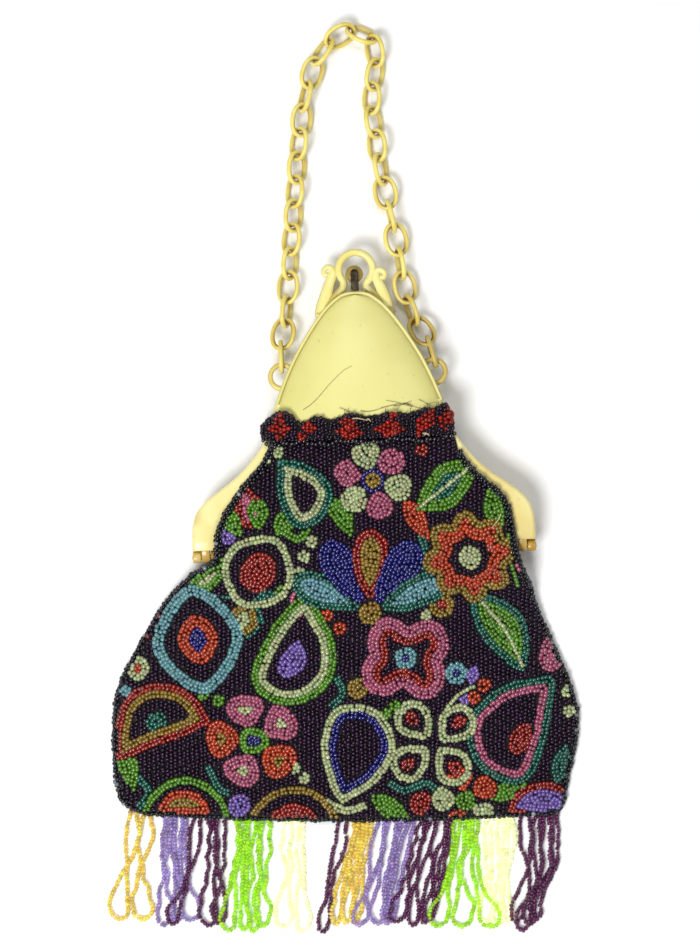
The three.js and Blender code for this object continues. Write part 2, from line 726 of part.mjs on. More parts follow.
add("edge_trim", loft(trimRings, (_, i) => trimRing[i]), "edging");

// Gathered band over the lower edge of each plate, swelling between its gathers

const bandTop = reading(BAND_GATHERS, "x", "top");
const bandOut = reading(BAND_GATHERS, "x", "out");
const bandFrom = BAND_GATHERS[0].x;
const bandTo = BAND_GATHERS[BAND_GATHERS.length - 1].x;

function bandSeat(x) {
  let high = 0;
  for (let below = 44; below <= BAND.bottom; below += 1.5) {
    const wide = half(below);
    const reach = Math.min(Math.abs(x), wide - 0.2);
    if (below <= FRAME.plateEnd) high = Math.max(high, plateFace(reach, below));
    if (Math.abs(x) > wide - legWide(below) - 1) high = Math.max(high, legThick(below));
  }
  return FRAME.split + high + SEAT;
}

// Rounded section of the band: share of its height from the lower edge, share of its thickness.
const BAND_SECTION = [
  { up: 0, out: 0 },
  { up: 0, out: 0.5 },
  { up: 0.16, out: 0.9 },
  { up: 0.42, out: 1 },
  { up: 0.74, out: 0.96 },
  { up: 0.95, out: 0.7 },
  { up: 1, out: 0.3 },
  { up: 0.97, out: 0 },
];

function bandPiece(side, sections, topAt, thickAt) {
  const rings = [];
  for (let i = 0; i <= sections; i += 1) {
    const x = lerp(bandFrom, bandTo, i / sections);
    const end = i === 0 || i === sections ? 1.2 : 0;
    const seat = bandSeat(x);
    rings.push(
      BAND_SECTION.map(({ up, out }) => {
        const below = lerp(BAND.bottom - end, topAt(x) + end / 2, up);
        return at(x, -below, side * (seat + out * thickAt(x)));
      }),
    );
  }
  return loft(rings, (p) => new THREE.Vector2(p.y, p.z));
}

const bandFront = bandPiece(1, BAND.sections, bandTop, (x) => BAND.front * bandOut(x));
addFramePiece("band_front", bandFront, "beadwork");
const bandBack = bandPiece(-1, BAND.sections / 2, () => BAND.plainTop, () => BAND.back);
addFramePiece("band_back", bandBack, "beadwork");

// Fringe: each group is a small head under the bottom seam with flat locks fused to it

const seamWay = trimWay.filter((p) => p.y < -73.5);

function seamY(x) {
  let i = 0;
  while (i < seamWay.length - 2 && x > seamWay[i + 1].x) i += 1;
  const a = seamWay[i];
  const b = seamWay[i + 1];
  return lerp(a.y, b.y, (x - a.x) / (b.x - a.x));
}

// The clear level under the bottom seam between two places.
const bottomY = (from, to) => Math.min(seamY(from), seamY(to)) - TRIM.radius - SEAT;

// A lock is narrow above and opens into a rounded loop at its tip.
function lockPiece(headX, headY, tipX, tipY, loop) {
  const long = headY - tipY;
  const sway = (t) => lerp(headX, tipX, t * t * (3 - 2 * t));
  const narrow = FRINGE.lock / 2;
  const sides = [
    [0, narrow],
    [0.35, narrow],
    [0.64, lerp(narrow, loop / 2, 0.4)],
    [0.88, loop / 2],
    [0.97, loop * 0.38],
    [1, loop * 0.14],
  ];
  const shape = new THREE.Shape();
  const right = sides.map(([t, w]) => new THREE.Vector2(sway(t) + w, headY - t * long));
  const left = sides.map(([t, w]) => new THREE.Vector2(sway(t) - w, headY - t * long)).reverse();
  shape.setFromPoints([...right, ...left]);
  const lock = new THREE.ExtrudeGeometry(shape, { depth: FRINGE.thick, bevelEnabled: false });
  lock.translate(0, 0, FLOOR);
  return manifold(lock);
}

FRINGE_GROUPS.forEach(({ name, headFrom, headTo, tipFrom, tipTo, locks }, k) => {
  const headY = bottomY(headFrom, headTo);
  const head = new THREE.BoxGeometry(headTo - headFrom, FRINGE.headDrop, FRINGE.thick + 0.3);
  head.translate((headFrom + headTo) / 2, headY - FRINGE.headDrop / 2, FLOOR + (FRINGE.thick + 0.3) / 2);
  let piece = manifold(head);
  const loop = (tipTo - tipFrom) / locks;
  for (let i = 0; i < locks; i += 1) {
    const share = (i + 0.5) / locks;
    const inner = FRINGE.lock / 2;
    const headX = lerp(headFrom + inner, headTo - inner, locks === 1 ? 0.5 : i / (locks - 1));
    const tipX = lerp(tipFrom, tipTo, share);
    const tipY = FRINGE.tipY + 2 * Math.sin(2.1 * k + 1.7 * i);
    piece = piece.add(lockPiece(headX, headY - 0.5, tipX, tipY, loop - 0.7));
  }
  add(`fringe_${String(k + 1).padStart(2, "0")}_${name}`, geometryOf(piece), name);
});

export default group;
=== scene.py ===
# %% [markdown]
# # A beaded evening bag
# The bag lies on its back on a white table and is seen from straight above. It has a hinged celluloid
# frame with a crest, a chain of oval links, a pouch sewn all over with glass beads, and a fringe of bead
# loops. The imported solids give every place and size, and this lesson dresses them piece by piece.

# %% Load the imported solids
import math
import bpy
import numpy as np
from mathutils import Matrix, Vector
from mathutils.bvhtree import BVHTree


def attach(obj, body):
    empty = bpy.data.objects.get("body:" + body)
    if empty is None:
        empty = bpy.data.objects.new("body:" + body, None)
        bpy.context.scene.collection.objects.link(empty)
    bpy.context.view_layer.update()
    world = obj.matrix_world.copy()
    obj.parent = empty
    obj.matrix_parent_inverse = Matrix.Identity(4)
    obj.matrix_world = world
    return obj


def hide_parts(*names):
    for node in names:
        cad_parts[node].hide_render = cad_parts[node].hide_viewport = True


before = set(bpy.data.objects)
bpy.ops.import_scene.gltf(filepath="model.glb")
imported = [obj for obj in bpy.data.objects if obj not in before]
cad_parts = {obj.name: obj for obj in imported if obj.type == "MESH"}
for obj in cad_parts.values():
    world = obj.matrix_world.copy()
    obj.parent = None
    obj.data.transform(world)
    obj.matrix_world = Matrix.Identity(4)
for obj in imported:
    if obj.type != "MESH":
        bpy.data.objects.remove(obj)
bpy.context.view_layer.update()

# %% [markdown]
# ## Camera
# The photograph was taken from straight above, a little less than a metre up. A camera with no turn looks
# down the Z axis with Y to the top of the picture, so only its height and lens have to be set. The lens
# follows from the height and from how many millimetres fill the tall side of the picture.

# %% Camera above the table
scene = bpy.context.scene
CAMERA_UP = 0.892
SEEN_TALL = 0.378
SEEN_MIDDLE = 0.059
bpy.ops.object.select_all(action="DESELECT")
bpy.ops.object.camera_add(location=(0, SEEN_MIDDLE, CAMERA_UP), rotation=(0, 0, 0))
camera = bpy.context.object
camera.data.lens = camera.data.sensor_width * CAMERA_UP / SEEN_TALL
scene.camera = camera
print("lens", round(camera.data.lens, 1), "mm")

# %% [markdown]
# ## Table and light
# The table is white and nearly overexposed, with a soft grey shadow above and to the right of what stands up.
# One large soft lamp on the lower left gives the shadows and most of the glints. Two weaker lamps, on the
# right and beyond the chain, lift the shaded sides, and a faint pale sky fills what is left.

# %% White table
TABLE_SIZE, TABLE_LOW = 6, 0.0002
bpy.ops.mesh.primitive_plane_add(size=TABLE_SIZE, location=(0, 0, -TABLE_LOW))
table = bpy.context.object
table.name = "table"
paper = bpy.data.materials.new("white_table")
paper.use_nodes = True
paper_shader = paper.node_tree.nodes["Principled BSDF"]
paper_shader.inputs["Base Color"].default_value = (0.97, 0.97, 0.97, 1)
paper_shader.inputs["Roughness"].default_value = 0.9
table.data.materials.append(paper)
print("table", TABLE_SIZE, "m wide")

# %% Lamps and sky
SKY_STRENGTH, LAMP_WIDE = 0.17, 0.6
# Each lamp: its place, the place it points at, and its power in watts.
LAMPS = [
    ((-0.42, -0.5, 1.25), (0, 0.05, 0), 16.2),
    ((0.75, 0.35, 1.15), (0, 0.05, 0), 2.4),
    ((-0.1, 0.65, 1.25), (0, 0.1, 0), 4.4),
]
scene.world = bpy.data.worlds.new("studio")
scene.world.use_nodes = True
sky = scene.world.node_tree.nodes["Background"]
sky.inputs["Color"].default_value = (1, 1, 1, 1)
sky.inputs["Strength"].default_value = SKY_STRENGTH
scene.view_settings.view_transform = "Standard"
for place, target, power in LAMPS:
    bpy.ops.object.light_add(type="AREA", location=place)
    lamp = bpy.context.object
    lamp.data.shape = "DISK"
    lamp.data.size = LAMP_WIDE
    lamp.data.energy = power
    lamp.rotation_euler = (Vector(target) - Vector(place)).to_track_quat("-Z", "Y").to_euler()
print("lamps", len(LAMPS))

# %% [markdown]
# ## Shader sums in plain Python
# A finish is a small graph of nodes. Written as a graph it is long, so one class wraps a socket and turns
# sums on sockets into Math nodes. Every other node comes from its `node` method.


# %% A socket that can be reckoned with
class Wire:
    def __init__(self, socket):
        self.socket = socket

    def node(self, kind, settings, sockets, out=0):
        tree = self.socket.id_data
        made = tree.nodes.new("ShaderNode" + kind)
        for key, value in settings.items():
            setattr(made, key, value)
        for key, value in sockets.items():
            if isinstance(value, Wire):
                tree.links.new(value.socket, made.inputs[key])
            else:
                made.inputs[key].default_value = value
        return Wire(made.outputs[out])

    def sum(self, operation, first, second):
        return self.node("Math", {"operation": operation}, {0: first, 1: second})

    def __add__(self, other):
        return self.sum("ADD", self, other)

    def __radd__(self, other):
        return self.sum("ADD", other, self)

    def __mul__(self, other):
        return self.sum("MULTIPLY", self, other)

    def mixed(self, first, second):
        """Two colours, from the first at 0 to the second at 1."""
        return self.node("Mix", {"data_type": "RGBA"}, {0: self, 6: first, 7: second}, 2)

    def ramp(self, low, high):
        """0 below low, 1 above high, and a soft step between."""
        settings = {"interpolation_type": "SMOOTHSTEP"}
        return self.node("MapRange", settings, {"Value": self, "From Min": low, "From Max": high})

    def noise(self, scale, detail=3.0):
        return self.node("TexNoise", {}, {"Vector": self, "Scale": scale, "Detail": detail})


def paint(red, green, blue):
    """A colour named by its 0 to 255 screen values, as the linear values that shaders use."""
    part = np.array([red, green, blue]) / 255
    linear = np.where(part <= 0.04045, part / 12.92, ((part + 0.055) / 1.055) ** 2.4)
    return (*linear.tolist(), 1.0)


def new_finish(name, fixed):
    """A material with its uniform values, its shader node, and its Object coordinates."""
    material = bpy.data.materials.new(name)
    material.use_nodes = True
    shader = material.node_tree.nodes["Principled BSDF"]
    for socket, value in fixed.items():
        shader.inputs[socket].default_value = value
    place = Wire(material.node_tree.nodes.new("ShaderNodeTexCoord").outputs["Object"])
    return material, shader, place


def feed(shader, socket, wire):
    shader.id_data.links.new(wire.socket, shader.inputs[socket])


print("ivory", np.round(paint(250, 243, 160), 3).tolist())

# %% [markdown]
# ## Celluloid
# The frame and the chain are old celluloid: cream when new, now yellow in soft clouds, with small brown spots
# and one brown smudge on a leg. Clouds and spots come from a broad and a fine noise, and a very fine one moves
# the roughness as rubbing would. A point attribute mixes in the dark colour, as dirt and as painted shade, in
# grooves, round joints and on the undersides of bars. The parts differ in tone and gloss, so each kind of part
# has its own finish.


# %% Celluloid finishes
SMUDGE, SMUDGE_WIDE = (-0.0612, 0.0416, 0.0166), 0.005
STAIN, RUBBING = 0.3, 0.16


def celluloid(name, pale, amber, dark, cloud, rough=0.3):
    fixed = {"Coat Weight": 0.1, "Coat Roughness": 0.3, "IOR": 1.5}
    material, shader, place = new_finish(name, fixed)
    broad = place.noise(cloud).ramp(0.35, 0.75)
    spots = place.noise(520, 2.0).ramp(0.66, 0.8)
    rubbed = place.noise(2400, 4.0)
    # The point attribute mixes in the dark colour: dirt, and painted shade in hollows, joints and undersides.
    grime = place.node("Attribute", {"attribute_name": "grime"}, {}, "Fac")
    far = place.node("VectorMath", {"operation": "DISTANCE"}, {0: place, 1: SMUDGE}, "Value")
    smudge = far.ramp(SMUDGE_WIDE, SMUDGE_WIDE / 5)
    darkening = (spots * STAIN + smudge * STAIN).mixed(broad.mixed(pale, amber), dark)
    feed(shader, "Base Color", grime.mixed(darkening, dark))
    feed(shader, "Roughness", rough + rubbed * RUBBING)
    bump = place.node("Bump", {}, {"Strength": 0.06, "Distance": 0.0002, "Height": rubbed})
    feed(shader, "Normal", bump)
    return material


plate_ivory = celluloid("plate_celluloid", paint(233, 227, 143), paint(222, 214, 130), paint(150, 126, 58), 26)
leg_ivory = celluloid("leg_celluloid", paint(247, 237, 166), paint(240, 222, 140), paint(186, 146, 60), 60, 0.17)
crest_ivory = celluloid("crest_celluloid", paint(247, 239, 160), paint(240, 226, 128), paint(146, 106, 28), 80,
                        0.2)
link_ivory = celluloid("link_celluloid", paint(249, 234, 132), paint(236, 212, 100), paint(140, 98, 20), 150)
print("celluloid finishes", sum("celluloid" in m.name for m in bpy.data.materials))

# %% [markdown]
# ## Metal
# The clasp's tongue is a strip of darkened steel, and the hinge pins are brass that has gone brown. Both are
# metals with a cloudy tarnish that is rougher than the bare parts.


# %% Metal finishes
def tarnished(name, bare, dull, metal):
    material, shader, place = new_finish(name, {"Metallic": metal})
    cloud = place.noise(700, 5.0).ramp(0.35, 0.65)
    feed(shader, "Base Color", cloud.mixed(bare, dull))
    feed(shader, "Roughness", 0.34 + cloud * 0.26)
    return material


steel_strip = tarnished("dark_steel", paint(82, 68, 44), paint(40, 31, 18), 0.6)
old_brass = tarnished("old_brass", paint(236, 200, 100), paint(196, 150, 58), 0.3)
print(steel_strip.name, old_brass.name)

# %% [markdown]
# ## Glass beads
# Every bead has its own tone, because no two beads of a hank come out of the furnace alike. A colour
# attribute called `tint` holds it. The figures are sewn in shiny opaque beads, the ground in duller ones and
# the edging in smooth black ones with sharp glints. The fringe is clear glass that lets the white table through,
# and a little glow stands for the light that gathers inside it. The lemon groups are the palest and glow more.


# %% Glass finishes
def bead_glass(name, rough, index, glaze, clear=0.0, glow=0.0):
    fixed = {"Roughness": rough, "IOR": index, "Coat Weight": glaze, "Coat IOR": 1.9, "Coat Roughness": 0.12,
             "Transmission Weight": clear, "Emission Strength": glow}
    material, shader, place = new_finish(name, fixed)
    tint = place.node("Attribute", {"attribute_name": "tint"}, {}, "Color")
    feed(shader, "Base Color", tint)
    if glow:
        feed(shader, "Emission Color", tint)
    return material


figure_glass = bead_glass("figure_glass", 0.22, 1.45, 0.55)
ground_glass = bead_glass("ground_glass", 0.3, 1.35, 0.16)
edging_glass = bead_glass("edging_glass", 0.07, 1.5, 0.1)
fringe_glass = bead_glass("fringe_glass", 0.12, 1.4, 0.4, 0.5, 0.1)
pale_glass = bead_glass("pale_glass", 0.14, 1.4, 0.45, 0.4, 0.27)
print("bead finishes", sum("glass" in m.name for m in bpy.data.materials))

# %% [markdown]
# ## Cloth and thread
# Under the beads is a dark cotton cloth. It shows only as the dark lines between the beads and as a frayed edge
# over the plate, so a plain weave of two waves is enough.

# %% Cloth finish
dark_cloth, cloth_shader, place = new_finish("dark_cloth", {"Sheen Weight": 0.15, "Roughness": 0.9})
wave = {"Vector": place, "Scale": 900.0, "Distortion": 0.4}
warp, weft = (place.node("TexWave", {"bands_direction": way}, wave) for way in "XY")
weave = (warp + weft) * 0.5
feed(cloth_shader, "Base Color", weave.mixed(paint(7, 4, 8), paint(17, 11, 18)))
feed(cloth_shader, "Normal", place.node("Bump", {}, {"Strength": 0.4, "Distance": 0.0002, "Height": weave}))


def thread_finish(name, low, high):
    material, shader, place = new_finish(name, {"Roughness": 0.75})
    feed(shader, "Base Color", place.noise(1500).mixed(low, high))
    return material


dark_thread = thread_finish("dark_thread", paint(16, 16, 20), paint(52, 44, 48))
straw_thread = thread_finish("straw_thread", paint(196, 176, 118), paint(232, 222, 184))
print(dark_cloth.name, dark_thread.name, straw_thread.name)

# %% [markdown]
# ## Working helpers
# All sizes below are millimetres in the frame of the solids, because a maker thinks in them, and become metres
# as a mesh is made. Most pieces here are skins: a grid is added and its rows are laid along a run of sections.
# A closed skin has its seam merged and its ends filled.

# %% Skins laid over rows of sections
MM = 0.001


def only(piece):
    bpy.ops.object.select_all(action="DESELECT")
    piece.select_set(True)
    bpy.context.view_layer.objects.active = piece


def skin(rows, closed=False, turn=False, grime=None):
    rows = np.asarray(rows, np.float32)
    down, across = rows.shape[:2]
    bpy.ops.object.select_all(action="DESELECT")
    bpy.ops.mesh.primitive_grid_add(x_subdivisions=across - 1, y_subdivisions=down - 1, size=1)
    piece = bpy.context.object
    piece.data.vertices.foreach_set("co", (rows * MM).ravel())
    # The share of the dark colour at each point, for the celluloid finishes: dirt and painted shade.
    if grime is not None:
        darkening = np.broadcast_to(np.asarray(grime, np.float32), (down, across))
        piece.data.attributes.new("grime", "FLOAT", "POINT").data.foreach_set("value", darkening.ravel())
    piece.data.update()
    bpy.ops.object.mode_set(mode="EDIT")
    bpy.ops.mesh.select_all(action="SELECT")
    if closed:
        bpy.ops.mesh.remove_doubles(threshold=1e-6)
        bpy.ops.mesh.fill_holes(sides=0)
        bpy.ops.mesh.normals_make_consistent(inside=False)
    if turn:
        bpy.ops.mesh.flip_normals()
    bpy.ops.object.mode_set(mode="OBJECT")
    return piece


def modify(piece, kind, **settings):
    only(piece)
    change = piece.modifiers.new(kind.lower(), kind)
    for key, value in settings.items():
        setattr(change, key, value)
    bpy.ops.object.modifier_apply(modifier=change.name)


def settle(piece, name, material, nodes, smooth):
    """Names and finishes a piece, and puts it in the place of its solids."""
    only(piece)
    bpy.ops.object.transform_apply(location=True, rotation=True, scale=True)
    if smooth:
        bpy.ops.object.shade_smooth_by_angle(angle=math.radians(smooth))
    piece.name = piece.data.name = name
    piece.data.materials.clear()
    piece.data.materials.append(material)
    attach(piece, "root")
    if nodes:
        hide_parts(*nodes)
    print(name, len(piece.data.polygons), "faces")
    return piece


def joined(pieces):
    only(pieces[0])
    for piece in pieces:
        piece.select_set(True)
    bpy.ops.object.join()
    return bpy.context.object


print("helpers ready")

# %% [markdown]
# ## The frame's sizes
# A table of a few measured levels gives the outline of the frame, and a smooth reading between them gives every
# other level. The frame is drawn upright around its tip and then leaned by two degrees, as it lies.


# %% Readings between measured levels
def columns(names, rows):
    return dict(zip(names.split(), np.array(rows, float).T))


def reading(table, along, column):
    s, v = table[along], table[column]
    gap = np.diff(s)
    rise = np.diff(v) / gap
    both = rise[:-1] * rise[1:]
    slope = np.concatenate([rise[:1], np.zeros(len(both)), rise[-1:]])
    same = both > 0
    slope[1:-1][same] = 2 * both[same] / (rise[:-1] + rise[1:])[same]

    def value(x):
        i = np.clip(np.searchsorted(s, x, side="right") - 1, 0, len(gap) - 1)
        t = np.clip((x - s[i]) / gap[i], 0, 1)
        a = 2 * t**3 - 3 * t**2 + 1
        bend = (t**3 - 2 * t**2 + t) * slope[i] + (t**3 - t**2) * slope[i + 1]
        return a * v[i] + (1 - a) * v[i + 1] + gap[i] * bend

    return value


OUTLINE = columns("below half", [
    (0, 2), (0.4, 3.3), (1, 4.8), (1.7, 6.1), (3.4, 8.6), (6.3, 11.8), (9.8, 14.8), (13.5, 17.5), (16.9, 19.8),
    (27.2, 25.9), (37.4, 30.5), (46.1, 33.7), (53.2, 35.8), (59.1, 38.2), (67, 44.3), (72.9, 50.4), (77.8, 57.3),
    (81.8, 62.4), (86.7, 66), (92.6, 67.4), (100.5, 67.6),
])
CROWN = columns("below rise", [(0, 0.2), (5.9, 1.5), (16.7, 4.0), (29.6, 5.9), (44.3, 6.8), (55.2, 6.8)])
LEG = columns("below wide thick", [
    (45.3, 4.4, 2.3), (53.2, 5.9, 3.4), (59.1, 7.4, 4.2), (67, 10.3, 4.2), (72.9, 12.3, 4.2), (77.8, 13.2, 4.2),
    (81.8, 12.8, 4.2), (86.7, 11.6, 4.2), (92.6, 10.6, 4.2), (100.5, 10.2, 4.2),
])
half = reading(OUTLINE, "below", "half")
crown = reading(CROWN, "below", "rise")
leg_wide = reading(LEG, "below", "wide")
leg_thick = reading(LEG, "below", "thick")
TIP = np.array([1.9, 130.9, 12.3])
LEAN = math.radians(2.1)
SPLIT, RIM, PLATE_END, LEG_END = 0.15, 2.2, 55.2, 100.5


def laid(points):
    """Points drawn around the upright frame's tip, moved to where the frame lies."""
    p = np.asarray(points, float)
    x = p[..., 0] * math.cos(LEAN) - p[..., 1] * math.sin(LEAN)
    y = p[..., 0] * math.sin(LEAN) + p[..., 1] * math.cos(LEAN)
    return np.stack([x, y, p[..., 2]], -1) + TIP


print("frame across its hinges", 2 * float(half(LEG_END)), "mm")

# %% [markdown]
# ## Plates
# Each half of the frame is a thin domed plate, pressed from a sheet, with a narrow raised rim and a fine groove
# inside it. The rim's section is a short list of steps, swept along the smooth edge, and rows of the dome follow
# inside it. The sheet gets its thickness from a Solidify modifier, towards the inside.

# %% Front and back plates
def smooth_way(points, count):
    """Points at equal steps along a smooth line through the given ones."""
    p = np.asarray(points, float)
    p = np.vstack([2 * p[0] - p[1], p, 2 * p[-1] - p[-2]])
    t = np.linspace(0, 1, 24, endpoint=False)[:, None]
    run = []
    for a, b, c, d in zip(p[:-3], p[1:-2], p[2:-1], p[3:]):
        run.append(0.5 * (2 * b + (c - a) * t + (2 * a - 5 * b + 4 * c - d) * t**2
                          + (3 * b - a - 3 * c + d) * t**3))
    run = np.vstack([*run, p[-2:-1]])
    far = np.concatenate([[0], np.cumsum(np.linalg.norm(np.diff(run, axis=0), axis=1))])
    want = np.linspace(0, far[-1], count)
    return np.stack([np.interp(want, far, column) for column in run.T], 1)


def unit(vectors):
    return vectors / np.maximum(np.linalg.norm(vectors, axis=-1, keepdims=True), 1e-9)


# The rim's section: steps in from the edge, heights against its top, and how dark it is there: dirt and painted
# shade in the groove, painted shade down the outer side.
LIP = [(0, -2.2, 0.1), (0, -0.7, 0.3), (0.08, -0.25, 0.3), (0.35, 0.1, 0), (0.8, 0.16, 0), (1.15, 0.02, 0.1),
       (1.35, -0.3, 0.8), (1.6, -0.36, 0.9), (1.85, -0.5, 0), (1.85, -1.9, 0), (0, -2.2, 0.2)]
SHEET = 1.5
below = PLATE_END * np.linspace(1, 0.16, 40) ** 2
edge = np.c_[half(below), -below]
edge = np.vstack([edge, [(3.5, -0.8), (1.8, -0.5), (0, -0.42), (-1.8, -0.5), (-3.5, -0.8)], edge[::-1] * (-1, 1)])
EDGE_POINTS, DOME_ACROSS, DOME_DOWN = 181, 37, 46
edge = smooth_way(edge, EDGE_POINTS)
ahead = unit(np.gradient(edge, axis=0))
inward = np.c_[-ahead[:, 1], ahead[:, 0]]
dome_edge = (edge + inward * 1.6)[:EDGE_POINTS // 2 + 1]


def dome_row(below):
    wide = np.interp(below, -dome_edge[::-1, 1], dome_edge[::-1, 0])
    share = np.cos(np.linspace(math.pi, 0, DOME_ACROSS))
    rise = RIM - 0.4 + (crown(below) + 0.4) * (1 - np.abs(share) ** 2.2) ** 0.7
    return np.c_[share * max(wide, 0.04), np.full(DOME_ACROSS, -below), SPLIT + rise]


def plate(side):
    lip = [[(*(p + n * step), SPLIT + RIM + up) for step, up, _ in LIP] for p, n in zip(edge, inward)]
    rim = skin(laid(np.array(lip) * (1, 1, side)), closed=True, grime=[g for _, _, g in LIP])
    tip = -dome_edge[-1, 1]
    rows = [dome_row(tip + (PLATE_END - tip) * t**1.6) for t in np.linspace(1, 0, DOME_DOWN)]
    dome = skin(laid(np.array(rows) * (1, 1, side)), turn=side < 0)
    modify(dome, "SOLIDIFY", thickness=SHEET * MM, offset=-1.0)
    return joined([dome, rim])


settle(plate(1), "plate_front", plate_ivory, ["frame_front"], 40)
settle(plate(-1), "plate_back", plate_ivory, ["frame_back"], 40)

# %% [markdown]
# ## Legs and hinges
# From under the band the frame runs out into two curved legs on each half. A leg is flat on the side where the
# halves meet and softly rounded outside. At its foot three knuckles, moulded with the halves, stand on one brass
# pin: the middle one belongs to the front half, the outer two to the back.

# %% Legs
LEG_SECTION = [(0, 0), (0, 0.6), (0.02, 0.79), (0.06, 0.91), (0.13, 0.975), (0.25, 1), (0.5, 1), (0.74, 0.97),
               (0.87, 0.9), (0.95, 0.77), (0.99, 0.57), (1, 0.36), (1, 0), (0, 0)]
LEG_TAPER, LEG_DARKER_BELOW = 97.4, 88
LEG_LEVELS = np.r_[np.linspace(44, LEG_TAPER, 45), 98.1, 98.8, 99.4, 100, LEG_END]


def leg(side, hand):
    rows, darkening = [], []
    for below in LEG_LEVELS:
        edge, wide, thick = float(half(below)), float(leg_wide(below)), float(leg_thick(below))
        edge -= 0.3 * np.clip((57 - below) / 2, 0, 1)
        thick -= 0.75 * np.clip((below - LEG_TAPER) / (LEG_END - LEG_TAPER), 0, 1) ** 1.2
        rows.append([(hand * (edge - a * wide), -below, side * (SPLIT + up * thick)) for a, up in LEG_SECTION])
        # Darker towards the foot, on the left leg only on its inner side. The right leg is also a little darker
        # all over, with painted shade towards its inner side, next to the pouch.
        foot = np.clip((below - LEG_DARKER_BELOW) / (LEG_END - LEG_DARKER_BELOW), 0, 1)
        darkening.append([0.04 + 0.22 * a + 0.3 * foot**2 if hand > 0 else 0.1 * foot * a for a, _ in LEG_SECTION])
    piece = skin(laid(rows), closed=True, grime=darkening)
    modify(piece, "BEVEL", width=0.3 * MM, segments=2, limit_method="ANGLE", angle_limit=math.radians(50))
    return piece


for side, half_name in ((1, "front"), (-1, "back")):
    pair = joined([leg(side, -1), leg(side, 1)])
    settle(pair, f"legs_{half_name}", leg_ivory, [f"frame_{half_name}"], 40)

# %% Hinge knuckles and pins
HINGE_BELOW, HINGE_WIDE, KNUCKLE, PIN_RADIUS = 103.1, 10.4, 3.2, 0.75
# The side view of a knuckle: how far below the frame's tip, and how far out from where the halves meet.
KNUCKLE_SECTION = np.array([
    (99.4, 0.3), (99.4, 3.4), (100.6, 3.35), (101.9, 3.2), (103.1, 2.8), (104.2, 2.0), (105, 1), (105.3, 0),
    (105, -1), (104.3, -1.8), (103.1, -2.2), (101.9, -1.8), (101.1, -0.9), (100.9, 0.3), (99.4, 0.3),
])
KNUCKLE_MIDDLE = (102.4, 0.6)
# Steps along a knuckle, as shares of its width, and how full its section is there.
KNUCKLE_STEPS = ((-0.5, 0.86), (-0.47, 0.96), (-0.4, 1), (0.4, 1), (0.47, 0.96), (0.5, 0.86))
hinge_x = float(half(LEG_END)) - HINGE_WIDE / 2


def knuckle(x, side, grime):
    rows = []
    for step, grow in KNUCKLE_STEPS:
        section = (KNUCKLE_SECTION - KNUCKLE_MIDDLE) * grow + KNUCKLE_MIDDLE
        rows.append([(x + step * KNUCKLE, -below, side * up) for below, up in section])
    return skin(laid(rows), closed=True, grime=grime)


def hinge_pin(x):
    bpy.ops.object.select_all(action="DESELECT")
    bpy.ops.mesh.primitive_cylinder_add(vertices=24, radius=PIN_RADIUS * MM, depth=(HINGE_WIDE + 0.7) * MM,
                                        location=laid([x, -HINGE_BELOW, 0]) * MM,
                                        rotation=(0, math.pi / 2, LEAN))
    piece = bpy.context.object
    modify(piece, "BEVEL", width=0.3 * MM, segments=3, limit_method="ANGLE")
    return piece


knuckles = {"front": [], "back": []}
for hand, side_name in ((-1, "left"), (1, "right")):
    for step in (-1, 0, 1):
        x = hand * hinge_x + step * (HINGE_WIDE - KNUCKLE) / 2
        if step == 0:
            knuckles["front"].append(knuckle(x, 1, 0.85))
        else:
            knuckles["back"].append(knuckle(x, -1, 0.8 + 0.2 * step))
    settle(hinge_pin(hand * hinge_x), f"pin_{side_name}", old_brass, [f"hinge_pin_{side_name}"], 40)
for half_name, parts in knuckles.items():
    settle(joined(parts), f"knuckles_{half_name}", leg_ivory, [f"frame_{half_name}"], 40)

# %% [markdown]
# ## Crest, ears and clasp
# The crest stands on the tip of the back half: an open ring on two feet, and an arm with a scrolled end on each
# side. A small ear on each edge holds the chain. They are bars of changing thickness along a smooth line, so one
# helper lays rings along a way. The clasp is a button between the ring's feet with a steel strip over it.


# %% Bars along a smooth way
BAR_SIDES = 12


def bar(points, wide, thick, count, sides=BAR_SIDES):
    """A rounded bar: wide across the way and thick upwards, each given at even shares of its length."""
    way = smooth_way(points, count)
    share = np.linspace(0, 1, count)
    wide = np.interp(share, np.linspace(0, 1, len(wide)), wide)
    thick = np.interp(share, np.linspace(0, 1, len(thick)), thick)
    along = unit(np.gradient(way, axis=0))
    side = unit(np.cross(along, (0, 0, 1.0)))
    top = np.cross(side, along)
    turn = np.linspace(0, 2 * math.pi, sides + 1)[:, None]
    rows = []
    for k in range(count):
        rows.append(way[k] + np.cos(turn) * side[k] * wide[k] / 2 + np.sin(turn) * top[k] * thick[k] / 2)
    ends = [(rows[0], way[0] - along[0] * wide[0] * 0.3), (rows[-1], way[-1] + along[-1] * wide[-1] * 0.3)]
    caps = [tip + (row - row.mean(0)) * 0.55 for row, tip in ends]
    return np.array([caps[0], *rows, caps[1]])


def underside_shade(amount):
    """Painted shade of one ring of a bar: none on top, most from its widest line down."""
    return amount * np.clip((0.5 - np.sin(np.linspace(0, 2 * math.pi, BAR_SIDES + 1))) / 0.6, 0, 1)

print("sides of a bar", BAR_SIDES)

